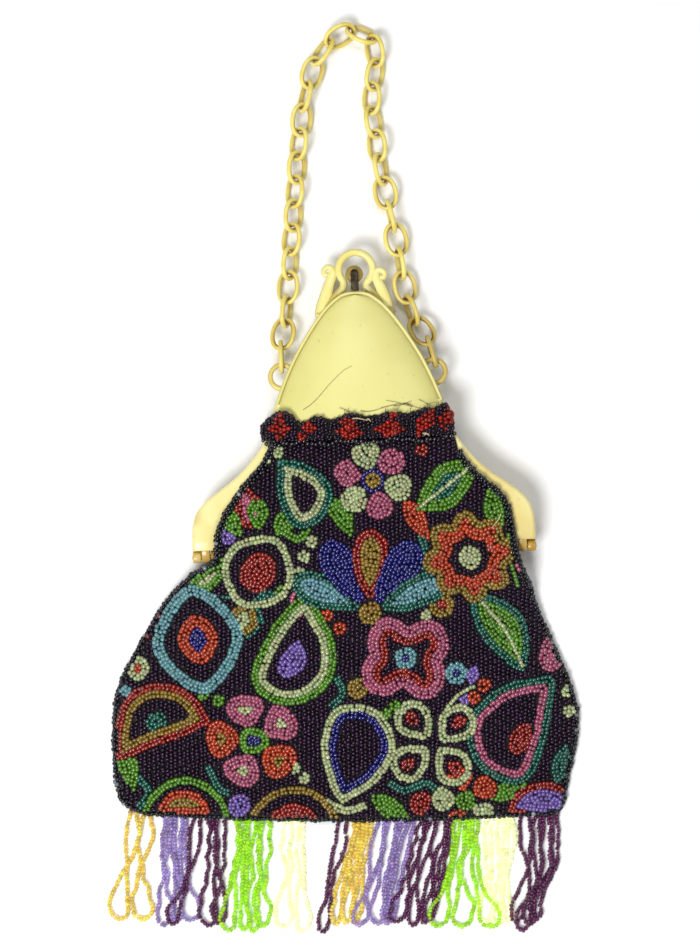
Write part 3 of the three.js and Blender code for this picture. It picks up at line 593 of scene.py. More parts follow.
# %% Crest
CREST_Z, RING_X, RING_Y, RING = -1.75, 0.6, 8.4, 6.7
feet = [(14.6, -9.1), (12.5, -6.4), (9.0, -2.9), (6.4, -0.6), (4.8, 1.1), (4.4, 2.6)]
ring_way = [(-x, y) for x, y in feet]
round_way = np.radians(range(222, -43, -22))
ring_way += [(RING_X + RING * math.cos(a), RING_Y + RING * math.sin(a)) for a in round_way]
ring_way += feet[::-1]
ring_rows = bar([(x, y, CREST_Z) for x, y in ring_way], [2.9, 2.9, 2.9, 3, 3, 3, 2.9, 2.9, 2.9], [2.8] * 2, 90)
# Painted shade: the ring is darker on its lower side, and most at its feet, where they meet the plate.
foot_shade = np.clip((np.abs(np.linspace(-1, 1, len(ring_rows))) - 0.5) / 0.16, 0, 1)[:, None]
ring_shade = underside_shade(0.35) * (1 + 1.8 * foot_shade) + 0.5 * foot_shade
crest = [skin(laid(ring_rows), closed=True, grime=ring_shade)]
ARM = np.array([(13.4, -9.4), (12.5, -5.4), (11.3, -1.2), (10.1, 2.7), (8.8, 5.9), (8.5, 7.9), (9.5, 9.5),
                (11.3, 9.2), (12.1, 7.8), (11.5, 6.5), (10.6, 6.9)])
for hand in (-1, 1):
    out, high = ARM.T
    if hand > 0:
        out = out - 1.1 * np.clip(-high / 9, 0, 1)
        high = high - 1.8 * np.clip((high + 5) / 10, 0, 1)
    way = np.c_[hand * out, high, np.full(len(ARM), CREST_Z)]
    arm = bar(way, [5.6, 5.8, 5.3, 4.6, 4.1, 3.5, 2.7, 2.2, 1.9], [3.0, 2.5], 56)
    # Painted shade on the arm's lower side, growing towards its foot at the plate.
    arm_foot_shade = 1 + 2 * np.linspace(1, 0, len(arm))[:, None] ** 2
    crest.append(skin(laid(arm), closed=True, grime=underside_shade(0.3) * arm_foot_shade))
settle(joined(crest), "crest", crest_ivory, ["frame_back"], 60)

# %% Ears for the chain
EAR_BELOW, EAR_OUT, EAR_RADIUS = 33.5, 1.2, 4.7
ears = []
for hand in (-1, 1):
    slope = float(half(EAR_BELOW + 2) - half(EAR_BELOW - 2)) / 4
    out = unit(np.array([hand, slope, 0.0]))
    up = unit(np.array([-hand * slope, 1, 0.0]))
    middle = np.array([hand * float(half(EAR_BELOW)), -EAR_BELOW, CREST_Z]) + out * EAR_OUT
    round_way = np.radians(range(-130, 131, 20))
    loop = [middle + out * EAR_RADIUS * math.cos(a) + up * EAR_RADIUS * math.sin(a) for a in round_way]
    # Painted shade on the lower side of the loop, and a darker amber tone all over, more on the right ear.
    handled = 0.48 if hand > 0 else 0.26
    ears.append(skin(laid(bar(loop, [2.3, 2.0, 2.0, 2.0, 2.3], [2.1] * 2, 40)), closed=True,
                     grime=underside_shade(0.7) + handled))
settle(joined(ears), "ears", link_ivory, ["frame_back"], 60)

# %% Clasp button and tongue
BUTTON = [(0.02, -3.1), (1.4, -3.1), (1.4, 0.1), (2.5, 0.2), (3.2, 0.65), (3.5, 1.3), (3.4, 1.9), (3.0, 2.4),
          (2.2, 2.8), (1.2, 2.98), (0.02, 3.02)]
BUTTON_Y = 6.2
STRIP_PLACE, STRIP_SIZE, STRIP_CORNER = [0, 3.65, 3.7], (3.1, 8.5, 0.8), 1.3
turn = np.linspace(0, 2 * math.pi, 29)
button_rows = [[(r * math.cos(a), BUTTON_Y + r * math.sin(a), z) for a in turn] for r, z in BUTTON]
olive = celluloid("button_celluloid", paint(166, 142, 66), paint(138, 112, 48), paint(80, 58, 20), 300)
settle(skin(laid(button_rows), closed=True), "button", olive, ["clasp_knob"], 40)

bpy.ops.object.select_all(action="DESELECT")
bpy.ops.mesh.primitive_cube_add(size=1, location=laid(STRIP_PLACE) * MM, rotation=(0, 0, LEAN))
strip = bpy.context.object
strip.scale = [size * MM for size in STRIP_SIZE]
bpy.ops.object.transform_apply(location=False, rotation=False, scale=True)
bpy.ops.object.mode_set(mode="EDIT")
bpy.ops.mesh.select_all(action="DESELECT")
bpy.ops.object.mode_set(mode="OBJECT")
for edge in strip.data.edges:
    a, b = (strip.data.vertices[k].co for k in edge.vertices)
    edge.select = a.y > 0 and b.y > 0 and abs(a.z - b.z) > 0.5 * MM
bpy.ops.object.mode_set(mode="EDIT")
bpy.ops.mesh.select_mode(type="EDGE")
bpy.ops.mesh.bevel(offset=STRIP_CORNER * MM, segments=6)
bpy.ops.object.mode_set(mode="OBJECT")
modify(strip, "BEVEL", width=0.16 * MM, segments=2, limit_method="ANGLE", angle_limit=math.radians(50))
settle(strip, "tongue", steel_strip, ["clasp_tongue"], 40)

# %% [markdown]
# ## Chain
# The links are turned celluloid ovals, each cut through once, sprung over the next and glued. One link is a torus
# whose points are moved onto a squarish oval, and each copy takes the place of a solid link. The solid's own
# directions of greatest, middle and least spread say how the link lies.

# %% One link
LINK_LONG, LINK_WIDE, LINK_WIRE, SQUARE = 14.05, 10.2, 1.95, 0.9
half_long, half_wide = (LINK_LONG - LINK_WIRE) / 2 * MM, (LINK_WIDE - LINK_WIRE) / 2 * MM
bpy.ops.object.select_all(action="DESELECT")
bpy.ops.mesh.primitive_torus_add(major_segments=36, minor_segments=10, major_radius=half_wide,
                                 minor_radius=LINK_WIRE / 2 * MM)
first_link = bpy.context.object
link_points = np.array([v.co for v in first_link.data.vertices])
reach = np.hypot(link_points[:, 0], link_points[:, 1])
ring = link_points[:, :2] / reach[:, None]
middle = np.sign(ring) * np.abs(ring) ** SQUARE * (half_long, half_wide)
face = unit(np.sign(ring) * np.abs(ring) ** (2 - SQUARE) / (half_long, half_wide))
link_points[:, :2] = middle + face * (reach - half_wide)[:, None]
inside = (half_wide - reach) / (LINK_WIRE / 2 * MM)
# Painted shade on the inner side of the wire, most at the ends of the oval, where the links hang in each other.
link_shade = np.clip(inside + 0.25, 0, 1) * (0.4 + 0.6 * ring[:, 0] ** 2)
print("link corners", len(link_points))

# %% A link in each place
# Grime from handling near the ears, on the right and on the left, below this height in the picture.
HANDLED_RIGHT, HANDLED_LEFT, HANDLED_BELOW = 0.6, 0.14, 0.14
links = []
for name in sorted(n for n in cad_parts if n.startswith("chain_link_")):
    solid = np.array([v.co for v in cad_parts[name].data.vertices])
    solid = np.unique(np.round(solid, 7), axis=0)
    middle = solid.mean(0)
    ways = np.linalg.svd(solid - middle, full_matrices=False)[2]
    ways[2] = np.cross(ways[0], ways[1])
    only(first_link)
    bpy.ops.object.duplicate()
    link = bpy.context.object
    link.data.vertices.foreach_set("co", (link_points @ ways + middle).astype(np.float32).ravel())
    handled = HANDLED_RIGHT if middle[0] > 0 else HANDLED_LEFT
    handled = handled * np.clip((HANDLED_BELOW - middle[1]) / 0.04, 0, 1)
    darkening = np.clip(link_shade + handled, 0, 1).astype(np.float32)
    link.data.attributes.new("grime", "FLOAT", "POINT").data.foreach_set("value", darkening)
    links.append(settle(link, name.replace("chain_", ""), link_ivory, [name], 60))
bpy.data.objects.remove(first_link)
print("links", len(links))

# %% [markdown]
# ## The pouch's shape
# Two panels of cloth make the pouch. The front one arches over what it holds and falls into soft pleats below
# the band, and the back one lies flat. Both are read from one table of levels below the band. The cloth itself
# is 1.5 mm under the outside, which leaves room for the layer of beads.

# %% Pouch levels
POUCH = columns("drop left right edge crown back", [
    (0, -31.0, 42.9, 18.9, 21.6, 5.6), (6, -34.1, 44.6, 18.9, 21.2, 5.6), (12, -37.8, 49.0, 18.9, 20.6, 5.6),
    (17, -43.1, 54.8, 18.9, 20.2, 5.6), (22, -45.9, 60.6, 18.9, 20, 5.6), (30, -50.7, 63.8, 18.9, 19.7, 5.6),
    (38, -53.1, 65.4, 18.9, 19.4, 5.6), (44, -53.4, 66.4, 18.9, 19.2, 5.2), (47.6, -54.9, 67.7, 18.4, 19, 4.4),
    (50.4, -59.8, 68.9, 17.1, 18.8, 3.5),
    (56, -66.7, 71.7, 10.6, 18, 1.5), (64, -74.1, 74.5, 5.8, 17, 0.3), (74, -80.3, 78.7, 4.3, 15.8, 0),
    (86, -87.2, 83.9, 4.3, 14.4, 0), (98, -92.9, 88.9, 4.3, 13.2, 0), (110, -94.9, 91.4, 4.3, 11.9, 0),
    (122, -94.9, 90.5, 4.3, 10.4, 0), (134, -94.3, 87.7, 4.3, 8.6, 0), (142, -92.3, 86.1, 4.3, 7, 0),
    (146.5, -89.1, 84.9, 4.3, 5.6, 0), (149, -84.9, 82.3, 4.3, 4.3, 0),
])
pouch = {name: reading(POUCH, "drop", name) for name in ("left", "right", "edge", "crown", "back")}
NECK_Y, CLOTH_EDGE, POUCH_LONG = 71.6, 3.1, 149


def pouch_side(name, drop, inset):
    slope = (pouch[name](drop + 1.5) - pouch[name](drop - 1.5)) / 3
    square = np.minimum(np.hypot(1, slope), 1.9)
    return pouch[name](drop) + (inset if name == "left" else -inset) * square


def pouch_place(u, drop, inset=CLOTH_EDGE):
    left, right = pouch_side("left", drop, inset), pouch_side("right", drop, inset)
    x = left + (right - left) * (u + 1) / 2
    lean = math.tan(LEAN) * x * np.clip(1 - drop / 44, 0, 1)
    low = 3.2 * (1 - u * u) * np.clip((drop - 110) / 39, 0, 1)
    return x, NECK_Y - drop + lean - low


def front_height(u, drop):
    arch = (1 - np.abs(u) ** 2.6) ** 0.85
    fade = np.clip(1 - drop / 46, 0, 1) ** 1.5
    pleat = 0.7 * fade * np.cos(math.pi * 7 * u) * (1 - u**4)
    return pouch["edge"](drop) + (pouch["crown"](drop) - pouch["edge"](drop)) * arch + pleat


def back_height(u, drop):
    return pouch["back"](drop) * np.clip((np.abs(u) - 0.55) / 0.45, 0, 1) ** 1.5


print("pouch", POUCH_LONG, "mm deep")

# %% Cloth panels
BEAD_HIGH = 1.5


def cloth_panel(name, height, lift, node):
    drop, u = np.meshgrid(np.linspace(POUCH_LONG - CLOTH_EDGE, 0, 130), np.linspace(-1, 1, 141), indexing="ij")
    x, y = pouch_place(u, drop, 1.7)
    y = y - 1.4 * np.clip(drop / (POUCH_LONG - CLOTH_EDGE) * 12 - 11, 0, 1)
    piece = skin(np.stack([x, y, height(u, drop) + lift], -1))
    modify(piece, "SOLIDIFY", thickness=0.4 * MM, offset=-1.0)
    settle(piece, name, dark_cloth, [node], 60)
    return piece


front_cloth = cloth_panel("cloth_front", front_height, -BEAD_HIGH, "panel_front")
back_cloth = cloth_panel("cloth_back", back_height, BEAD_HIGH + 0.4, "panel_back")
front_tree = BVHTree.FromObject(front_cloth, bpy.context.evaluated_depsgraph_get())
back_tree = BVHTree.FromObject(back_cloth, bpy.context.evaluated_depsgraph_get())

# %% [markdown]
# ## One bead, many beads
# A seed bead is a slice of glass tube, melted round. At this scale a ball of 32 faces with moved shoulders is
# enough, because its smooth shading makes the glint. Three are modelled: a barrel for the front, a rounder one
# for the fringe, and one of fewer faces for the back. Thousands of copies are one mesh from arrays of places and
# directions: along is the way of the thread through the bead, and up points away from the cloth.


# %% A bead to copy
def bead_model(segments, rings, shoulder_out, shoulder_wide):
    """Corners and faces of a bead one unit in radius, thread along X: a ball with its shoulders moved."""
    bpy.ops.object.select_all(action="DESELECT")
    bpy.ops.mesh.primitive_uv_sphere_add(segments=segments, ring_count=rings, radius=1)
    ball = bpy.context.object
    bpy.ops.object.mode_set(mode="EDIT")
    bpy.ops.mesh.select_all(action="SELECT")
    bpy.ops.transform.rotate(value=math.pi / 2, orient_axis="Y", center_override=(0, 0, 0))
    bpy.ops.object.mode_set(mode="OBJECT")
    corners = np.array([v.co for v in ball.data.vertices])
    shoulder = (np.abs(corners[:, 0]) > 0.1) & (np.abs(corners[:, 0]) < 0.95)
    out, ring = np.sign(corners[shoulder, 0]), unit(corners[shoulder, 1:])
    corners[shoulder] = np.c_[out * shoulder_out, ring * shoulder_wide]
    # A ball's faces may come in another order in each run, so they are sorted.
    faces = sorted(list(face.vertices) for face in ball.data.polygons)
    bpy.data.objects.remove(ball)
    return corners, faces


fine_bead = bead_model(8, 4, 0.82, 0.84)
round_bead = bead_model(8, 4, 0.74, 0.72)
plain_bead = bead_model(6, 3, 0.82, 0.84)
print("faces of a bead", len(fine_bead[1]), len(plain_bead[1]))


# %% Many beads as one mesh
def beads(name, model, places, along, up, sizes, tints, material, nodes):
    corners, faces = model
    along = unit(np.asarray(along, float))
    side = unit(np.cross(np.asarray(up, float), along))
    top = np.cross(along, side)
    sizes = np.broadcast_to(np.asarray(sizes, float), (len(places), 3)) / 2
    ways = np.stack([along * sizes[:, :1], side * sizes[:, 1:2], top * sizes[:, 2:]], 1)
    points = np.einsum("vk,nkc->nvc", corners, ways) + np.asarray(places)[:, None]
    mesh = bpy.data.meshes.new(name)
    count, many = len(places), len(corners)
    mesh.vertices.add(count * many)
    mesh.vertices.foreach_set("co", (points * MM).astype(np.float32).ravel())
    loop = np.concatenate(faces)
    long = np.array([len(face) for face in faces])
    start = np.concatenate([[0], np.cumsum(long)[:-1]])
    number = np.arange(count, dtype=np.int32)[:, None]
    mesh.loops.add(count * len(loop))
    mesh.loops.foreach_set("vertex_index", (number * many + loop).astype(np.int32).ravel())
    mesh.polygons.add(count * len(faces))
    mesh.polygons.foreach_set("loop_start", (number * len(loop) + start).astype(np.int32).ravel())
    mesh.polygons.foreach_set("use_smooth", np.ones(count * len(faces), bool))
    mesh.update(calc_edges=True)
    tint = mesh.color_attributes.new("tint", "FLOAT_COLOR", "POINT")
    rgba = np.ones((count, 4))
    rgba[:, :3] = np.asarray(tints)[:, :3]
    tint.data.foreach_set("color", np.repeat(rgba, many, axis=0).astype(np.float32).ravel())
    piece = bpy.data.objects.new(name, mesh)
    scene.collection.objects.link(piece)
    settle(piece, name, material, nodes, 0)
    print(" beads", count, "triangles", count * int((long - 2).sum()))
    return piece


GLASS = {
    "aubergine": paint(37, 14, 41), "black": paint(14, 16, 22), "cream": paint(172, 182, 131),
    "lime": paint(79, 134, 10), "teal": paint(6, 88, 72), "navy": paint(16, 12, 108), "red": paint(142, 20, 4),
    "orange": paint(176, 52, 4), "pink": paint(168, 80, 110), "ochre": paint(136, 107, 20),
    "sky": paint(96, 148, 156), "lilac": paint(114, 88, 168), "gold": paint(248, 222, 104),
    "violet": paint(98, 28, 84), "leaf": paint(184, 242, 46), "lemon": paint(248, 255, 198),
    "mauve": paint(172, 150, 206),
}
dice = np.random.default_rng(7)


def toned(names, spread, darker=0.2):
    """The glass colours of a row of beads, each a little lighter or darker than its hank."""
    base = np.array([GLASS[name][:3] for name in names])
    tone = np.exp(dice.normal(-darker, spread, (len(base), 1)) + dice.normal(0, spread * 0.3, base.shape))
    return np.clip(base * tone, 0, 1)


print("glass colours", len(GLASS))

# %% [markdown]
# ## The design on the front
# The beads are sewn from behind with a hook, row after row, so a figure is filled by rows that follow its
# outline. The design here is a scatter of ordinary garden ornament: rosettes, leaves, sprigs, drops and fans.
# A figure is an outline and a list of colours, one for each row from the outside in, and a list that ends in None
# leaves the middle open for the ground. A hash of 2 mm cells keeps beads from being sewn on top of each other.

# %% Sewing beads in the plane
ROW, STEP, CLOSE = 1.5, 1.36, 1.16
CELL, OUTLINE_STEP, FILL_STEP = 2, 0.4, 0.25
sewn = []
cells = {}
filled = []


def free(x, y, gap):
    i, j = int(x // CELL), int(y // CELL)
    for a in (i - 1, i, i + 1):
        for b in (j - 1, j, j + 1):
            for px, py in cells.get((a, b), ()):
                if (px - x) ** 2 + (py - y) ** 2 < gap * gap:
                    return False
    return True


def sew(x, y, way, colour, gap=CLOSE):
    if not free(x, y, gap):
        return False
    cells.setdefault((int(x // CELL), int(y // CELL)), []).append((x, y))
    sewn.append((x, y, way[0], way[1], colour))
    return True


def even_line(points, step, closed):
    p = np.asarray(points, float)
    p = np.vstack([p, p[:1]]) if closed else p
    far = np.concatenate([[0], np.cumsum(np.hypot(*np.diff(p, axis=0).T))])
    want = np.arange(0, far[-1], step)
    return np.stack([np.interp(want, far, p[:, 0]), np.interp(want, far, p[:, 1])], 1)


def within(outline, points):
    x, y = np.asarray(points, float).T
    inside = np.zeros(len(x), bool)
    for (ax, ay), (bx, by) in zip(outline, np.roll(outline, -1, 0)):
        if ay != by:
            inside ^= ((ay > y) != (by > y)) & (x < (bx - ax) * (y - ay) / (by - ay) + ax)
    return inside


def run_row(line, way, colours):
    last = None
    for p, w, colour in zip(line, way, colours):
        if (last is None or math.hypot(*(p - last)) >= STEP) and sew(*p, w, colour):
            last = p


def hand_drawn(line):
    """A line that wanders a little, as one drawn by hand does."""
    way = unit(np.roll(line, -1, 0) - np.roll(line, 1, 0))
    a = np.linspace(0, 2 * math.pi, len(line), endpoint=False)
    wander = sum(dice.normal(0, 1 / k) * np.cos(k * a + dice.uniform(0, 6.28)) for k in (2, 3, 4, 6))
    reach = min(0.9, 0.035 * np.ptp(line, axis=0).min())
    return line + np.c_[way[:, 1], -way[:, 0]] * (wander * reach)[:, None]


def grid_over(low, high, step):
    """The points of a square grid over a box."""
    spans = [np.arange(a, b, step) for a, b in zip(low, high)]
    return np.stack(np.meshgrid(*spans), -1).reshape(-1, 2)


def figure(outline, rows):
    """Fills an outline with rows of beads, from the outside in. A last colour of None leaves the rest open."""
    line = even_line(hand_drawn(even_line(outline, OUTLINE_STEP, True)), OUTLINE_STEP, True)
    way = unit(np.roll(line, -1, 0) - np.roll(line, 1, 0))
    grid = grid_over(line.min(0), line.max(0), FILL_STEP)
    grid = grid[within(line, grid)]
    far = np.hypot(grid[:, None, 0] - line[None, :, 0], grid[:, None, 1] - line[None, :, 1])
    near, deep = far.argmin(1), far.min(1)
    hollow = rows[-1] is None
    for k in range(len(rows) - 1 if hollow else 30):
        ring = np.flatnonzero(np.abs(deep - (k + 0.5) * ROW) < 0.15)
        if not len(ring):
            break
        ring = ring[np.argsort(near[ring], kind="stable")]
        run_row(grid[ring], way[near[ring]], [rows[min(k, len(rows) - 1)]] * len(ring))
    for p, n, d in zip(grid, near, deep):
        colour = rows[min(int(d / ROW), len(rows) - 1)]
        if d > 0.6 and colour:
            sew(*p, way[n], colour, 1.2)
    if not hollow:
        filled.append(line)


def stroke(points, colours):
    """Rows of beads side by side along a line."""
    line = smooth_way(points, 400)
    way = unit(np.gradient(line, axis=0))
    across = np.stack([-way[:, 1], way[:, 0]], 1)
    for k, colour in enumerate(colours):
        shifted = line + across * (k - (len(colours) - 1) / 2) * ROW
        run_row(shifted, way, [colour] * len(line))


print("row", ROW, "mm, step", STEP, "mm")

# %% [markdown]
# ## Outlines
# Each outline is drawn around zero with its tip towards the top, and then turned and moved to its place. They are
# the plain shapes of any pattern book: a drop, a leaf, a lozenge, a fan, a half round, a round and a wavy round.

# %% Pattern-book outlines
s = np.linspace(0, 1, 60)
t = np.linspace(0, 2 * math.pi, 120, endpoint=False)


def both_sides(wide, bend=0.0, long=1.0):
    middle = bend * np.sin(math.pi * s)
    right = np.c_[middle + wide, (s - 0.5) * long]
    left = np.c_[middle - wide, (s - 0.5) * long]
    return np.vstack([right, left[::-1]])


def drop(wide, long, bend=0.0):
    shape = np.sqrt(s) * (1 - s) ** 0.8
    return both_sides(wide / 2 * shape / shape.max(), bend, long)


def leaf(wide, long, bend=0.0):
    return both_sides(wide / 2 * np.sin(math.pi * s) ** 0.85, bend, long)


def petal(wide, long):
    return drop(wide, long) * (1, -1)


def wavy(wide, lobes=0, deep=0.0):
    """A round, or with lobes a round with a scalloped edge."""
    reach = 1 - deep * (1 - np.abs(np.cos(lobes * t / 2)))
    return np.c_[np.sin(t) * reach, np.cos(t) * reach] * wide / 2


def half_round(wide, high):
    a = np.linspace(0, math.pi, 60)
    return np.c_[np.cos(a) * wide / 2, np.sin(a) * high]


def lozenge(wide, long):
    c, d = np.cos(t), np.sin(t)
    return np.c_[np.sign(c) * np.abs(c) ** 1.35 * wide / 2, np.sign(d) * np.abs(d) ** 1.35 * long / 2]


def put(outline, x, y, turn=0.0):
    a = math.radians(turn)
    return np.asarray(outline) @ np.array([[math.cos(a), math.sin(a)], [-math.sin(a), math.cos(a)]]) + (x, y)


def fan(x, y, turns, inner, outer, wide, colours):
    """Petals that stand out from one place, narrow end inside."""
    for k, turn in enumerate(turns):
        a = math.radians(turn + 90)
        out = (inner + outer) / 2
        place = x + out * math.cos(a), y + out * math.sin(a)
        figure(put(petal(wide, outer - inner), *place, turn), colours[k % len(colours)])


def rosette(x, y, reach, petals, wide, colours, eye):
    figure(put(wavy(reach * 0.6), x, y), eye)
    fan(x, y, [360 * k / petals + 15 for k in range(petals)], reach * 0.28, reach, wide, colours)


def rib_leaf(x, y, wide, long, turn, rows, rib, bend=0.0):
    """A leaf with a rib through it."""
    side = np.linspace(-0.42, 0.42, 9)
    line = np.c_[bend * np.cos(math.pi * side), side * long]
    stroke(put(line, x, y, turn), [rib])
    figure(put(leaf(wide, long, bend), x, y, turn), rows)


def sprig(points, stem, leaves, colours, wide=5.2, long=10.5):
    line = smooth_way(points, 200)
    way = unit(np.gradient(line, axis=0))
    for k in range(leaves):
        i = int(200 * (k + 0.8) / (leaves + 0.6))
        hand = 1 if k % 2 else -1
        turn = math.degrees(math.atan2(way[i, 1], way[i, 0])) - 90 + hand * 52
        a = math.radians(turn + 90)
        x, y = line[i] + np.array([math.cos(a), math.sin(a)]) * (long / 2 + 1.2)
        figure(put(leaf(wide, long), x, y, turn), colours)
    stroke(points, stem)


def berries(places, wide, rows):
    for x, y in places:
        figure(put(wavy(wide), x, y), rows)


print("outline points", len(drop(1, 1)), len(wavy(1)))

# %% [markdown]
# ## Laying the figures out
# Large figures are sewn first, then the small ones between them, and stems last, so that a stem runs up to a
# flower and stops there.

# %% Large figures
rosette(9, 56, 15.5, 6, 10.6, [["cream"], ["pink"]], ["navy", "ochre"])
figure(put(drop(21, 30, 3), -21, 51, 28), ["teal"] * 2 + ["cream"] * 2 + [None])
rib_leaf(38, 54, 16, 31, -52, ["lime"] * 3 + ["teal"], "cream")
fan(-36, 24, (-34, 0, 34), 12, 25, 8, [["lime"]])
figure(put(wavy(29), -36, 20), ["cream"] * 2 + [None])
figure(put(wavy(15), -36, 20), ["red"])
figure(put(wavy(37, 8, 0.22), 47, 26, 8), ["ochre"] * 2 + ["orange"] * 3 + [None])
figure(put(wavy(9), 47, 26), ["cream"])
figure(put(wavy(9), 8, 4), ["ochre"])
fan(8, 4, (-66, -33, 0, 33, 66), 5, 33, 14,
    [["teal"] * 2 + ["sky"], ["navy"] * 3, ["red"] * 2 + ["ochre"], ["navy"] * 3, ["teal"] * 2 + ["sky"]])
figure(put(lozenge(38, 43), -60, -7, 8), ["sky"] * 3 + [None])
figure(put(lozenge(17, 20), -60, -7, 8), ["orange"] * 3 + ["navy"])
figure(put(drop(31, 46, 5), -24, -10, -20), ["lime"] * 2 + ["cream"] * 2 + [None])
figure(put(drop(10, 16, 1), -23, -14, -20), ["lilac"])
figure(put(wavy(38, 4, 0.3), 22, -14, 40), ["pink"] * 3 + ["red"] * 2 + [None])
figure(put(wavy(9), 22, -14), ["sky"] * 2 + ["navy"])
rib_leaf(58, -4, 18, 40, 34, ["teal"] * 2 + ["lime"], "cream", 3)
figure(put(half_round(41, 24), -73, -48, 22), ["red"] * 2 + ["ochre"] * 2 + [None])
figure(put(wavy(8.5), -76.5, -40), ["teal"])
rosette(-38, -47, 19, 5, 15, [["pink"] * 3 + ["cream"], ["orange"] * 3 + ["ochre"]], ["lime"] * 2 + ["navy"])
figure(put(drop(29, 41, -3), 0, -52, 172), ["cream"] * 2 + ["navy"] * 2 + [None])
fan(33, -48, (40, 130, 220, 310), 2.5, 20, 15, [["cream"] * 2 + [None]])
fan(33, -48, (40, 130, 220, 310), 9.5, 16, 5, [["red"]])
figure(put(drop(33, 47, -6), 69, -43, -28), ["teal"] * 2 + ["pink"] * 2 + [None])
figure(put(drop(9, 14), 68, -46, -28), ["red"])
figure(put(half_round(36, 18), -65, -80, 3), ["lime"] * 2 + [None])
figure(put(half_round(21, 10), -66, -77, 3), ["orange"] * 2 + ["ochre"])
figure(put(half_round(36, 18), -22, -83, -3), ["ochre"] * 2 + [None])
figure(put(half_round(20, 10), -22, -82, -3), ["red"])
rosette(46, -71, 13.5, 5, 10, [["orange"], ["cream"]], ["lime"])
figure(put(half_round(30, 15), 77, -79, -5), ["red"] * 2 + ["lilac"])
print("beads in figures", len(sewn))

# %% Small figures
figure(put(leaf(8, 20, 2), -5, 42, 34), ["lime"])
figure(put(drop(12, 18), -40, 46, 24), ["red"] * 2 + ["pink"])
figure(put(drop(9, 15), -48, 38, -8), ["lilac"])
figure(put(leaf(8, 19), 26, 41, 30), ["orange"])
figure(put(leaf(8, 19, -2), 58, 46, 14), ["lime"])
figure(put(lozenge(12, 15), -42, 1, -20), ["ochre"] * 2 + ["cream"])
figure(put(leaf(9, 21, 2), -57, 19, -50), ["lime"] * 2 + ["cream"])
figure(put(wavy(10), 36, 7), ["ochre"] * 2 + ["red"])
figure(put(wavy(9), 42, -20), ["sky"] * 2 + ["navy"])
figure(put(drop(10, 17), 80, -12, -8), ["pink"])
figure(put(wavy(9.5), -84, -19), ["cream"] * 2 + ["orange"])
figure(put(leaf(8, 20), -88, -58, 12), ["lime"])
figure(put(leaf(8.5, 20), 16, -74, 60), ["lime"])
figure(put(wavy(9), 28, -72), ["red"])
figure(put(wavy(9), -44, -73), ["lilac"])
figure(put(leaf(8, 17), 63, -67, -62), ["lime"])
figure(put(leaf(7.5, 17), 84, -57, -14), ["teal"])
figure(put(wavy(8.5), 3, -26), ["ochre"])
berries([(-28, 67), (-33, 64)], 5, ["cream"])
berries([(28, 68), (53, 63)], 5, ["red"])
berries([(-15, 32), (-18, 26), (-20, 20)], 5, ["cream"])
berries([(-4, -2), (-9, 3), (-9, 9)], 5, ["orange"])
berries([(30, 3), (27, 9)], 4.6, ["cream"])
berries([(-82, -6), (-77, 2), (-70, 8)], 5, ["red"])
berries([(-58, -29), (-63, -33), (-52, -31)], 4.8, ["lime"])
berries([(49, -30), (53, -25)], 5.5, ["orange"])
berries([(14, -36), (18, -33)], 4.8, ["lime"])
berries([(-18, -62), (-22, -58)], 4.8, ["cream"])
berries([(86, -28), (87, -36)], 4.8, ["cream"])
berries([(-90, -36), (-89, -28)], 4.8, ["sky"])
print("beads in figures", len(sewn))

# %% Sprigs, stems and lines
sprig([(-50, 10), (-43, 9), (-36, 5), (-34, -1)], ["teal"], 3, ["teal"])
sprig([(66, 15), (63, 25), (62, 36)], ["lime"], 3, ["pink"], 5, 9)
sprig([(38, -34), (44, -28), (52, -24)], ["cream"], 2, ["lilac"], 5, 9)
stroke([(-26, 36), (-20, 33), (-16, 38), (-13, 44)], ["lime"] * 2)
stroke([(-9, 13), (-14, 10), (-20, 12), (-22, 8), (-18, 3)], ["pink"] * 2)
stroke([(22, 43), (28, 34), (30, 24), (27, 16)], ["teal"] * 2)
stroke([(-5, -22), (-3, -28), (-8, -34)], ["teal"] * 2)
stroke([(-19, -67), (-12, -70), (-2, -75), (6, -73)], ["cream"] * 2)
stroke([(16, -64), (22, -67), (30, -64), (36, -68)], ["teal"] * 2)
stroke([(-84, -62), (-80, -68), (-84, -74)], ["teal"] * 2)
stroke([(-56, -58), (-52, -66), (-48, -68)], ["teal"] * 2)
stroke([(52, -48), (50, -54), (54, -60), (60, -61)], ["lime"] * 2)
stroke([(-30, 9), (-26, 14), (-20, 14)], ["lime"] * 2)
print("beads in the design", len(sewn))

# %% [markdown]
# ## The ground
# Round the figures the ground is sewn in close upright columns of aubergine beads, which wander a little as the
# hook does. A bead is left out where a figure already is, and single beads close the gaps that remain.

# %% Ground beads
design = list(sewn)
COLUMN, BEAD_STEP = 1.76, 1.48
GROUND_LOW, GROUND_HIGH = (-94, -80), (91, 73)
UPRIGHT = (0.03, 1)


def off_figures(points):
    inside = np.zeros(len(points), bool)
    for line in filled:
        near = (points >= line.min(0) - 0.5).all(1) & (points <= line.max(0) + 0.5).all(1)
        if near.any():
            inside[near] |= within(line, points[near])
    return points[~inside]


for n, x in enumerate(np.arange(GROUND_LOW[0], GROUND_HIGH[0], COLUMN)):
    ys = np.arange(GROUND_LOW[1] + (n % 2) * 0.7, GROUND_HIGH[1], BEAD_STEP)
    ys = ys + dice.normal(0, 0.07, len(ys))
    xs = x + 0.35 * np.sin(ys / 15 + x / 11) + dice.normal(0, 0.08, len(ys))
    for p in off_figures(np.c_[xs, ys]):
        sew(*p, UPRIGHT, "aubergine", 1.22)
for p in off_figures(dice.permutation(grid_over(GROUND_LOW, GROUND_HIGH, 0.5))):
    sew(*p, UPRIGHT, "aubergine", 1.4)
ground = sewn[len(design):]
print("ground beads", len(ground))


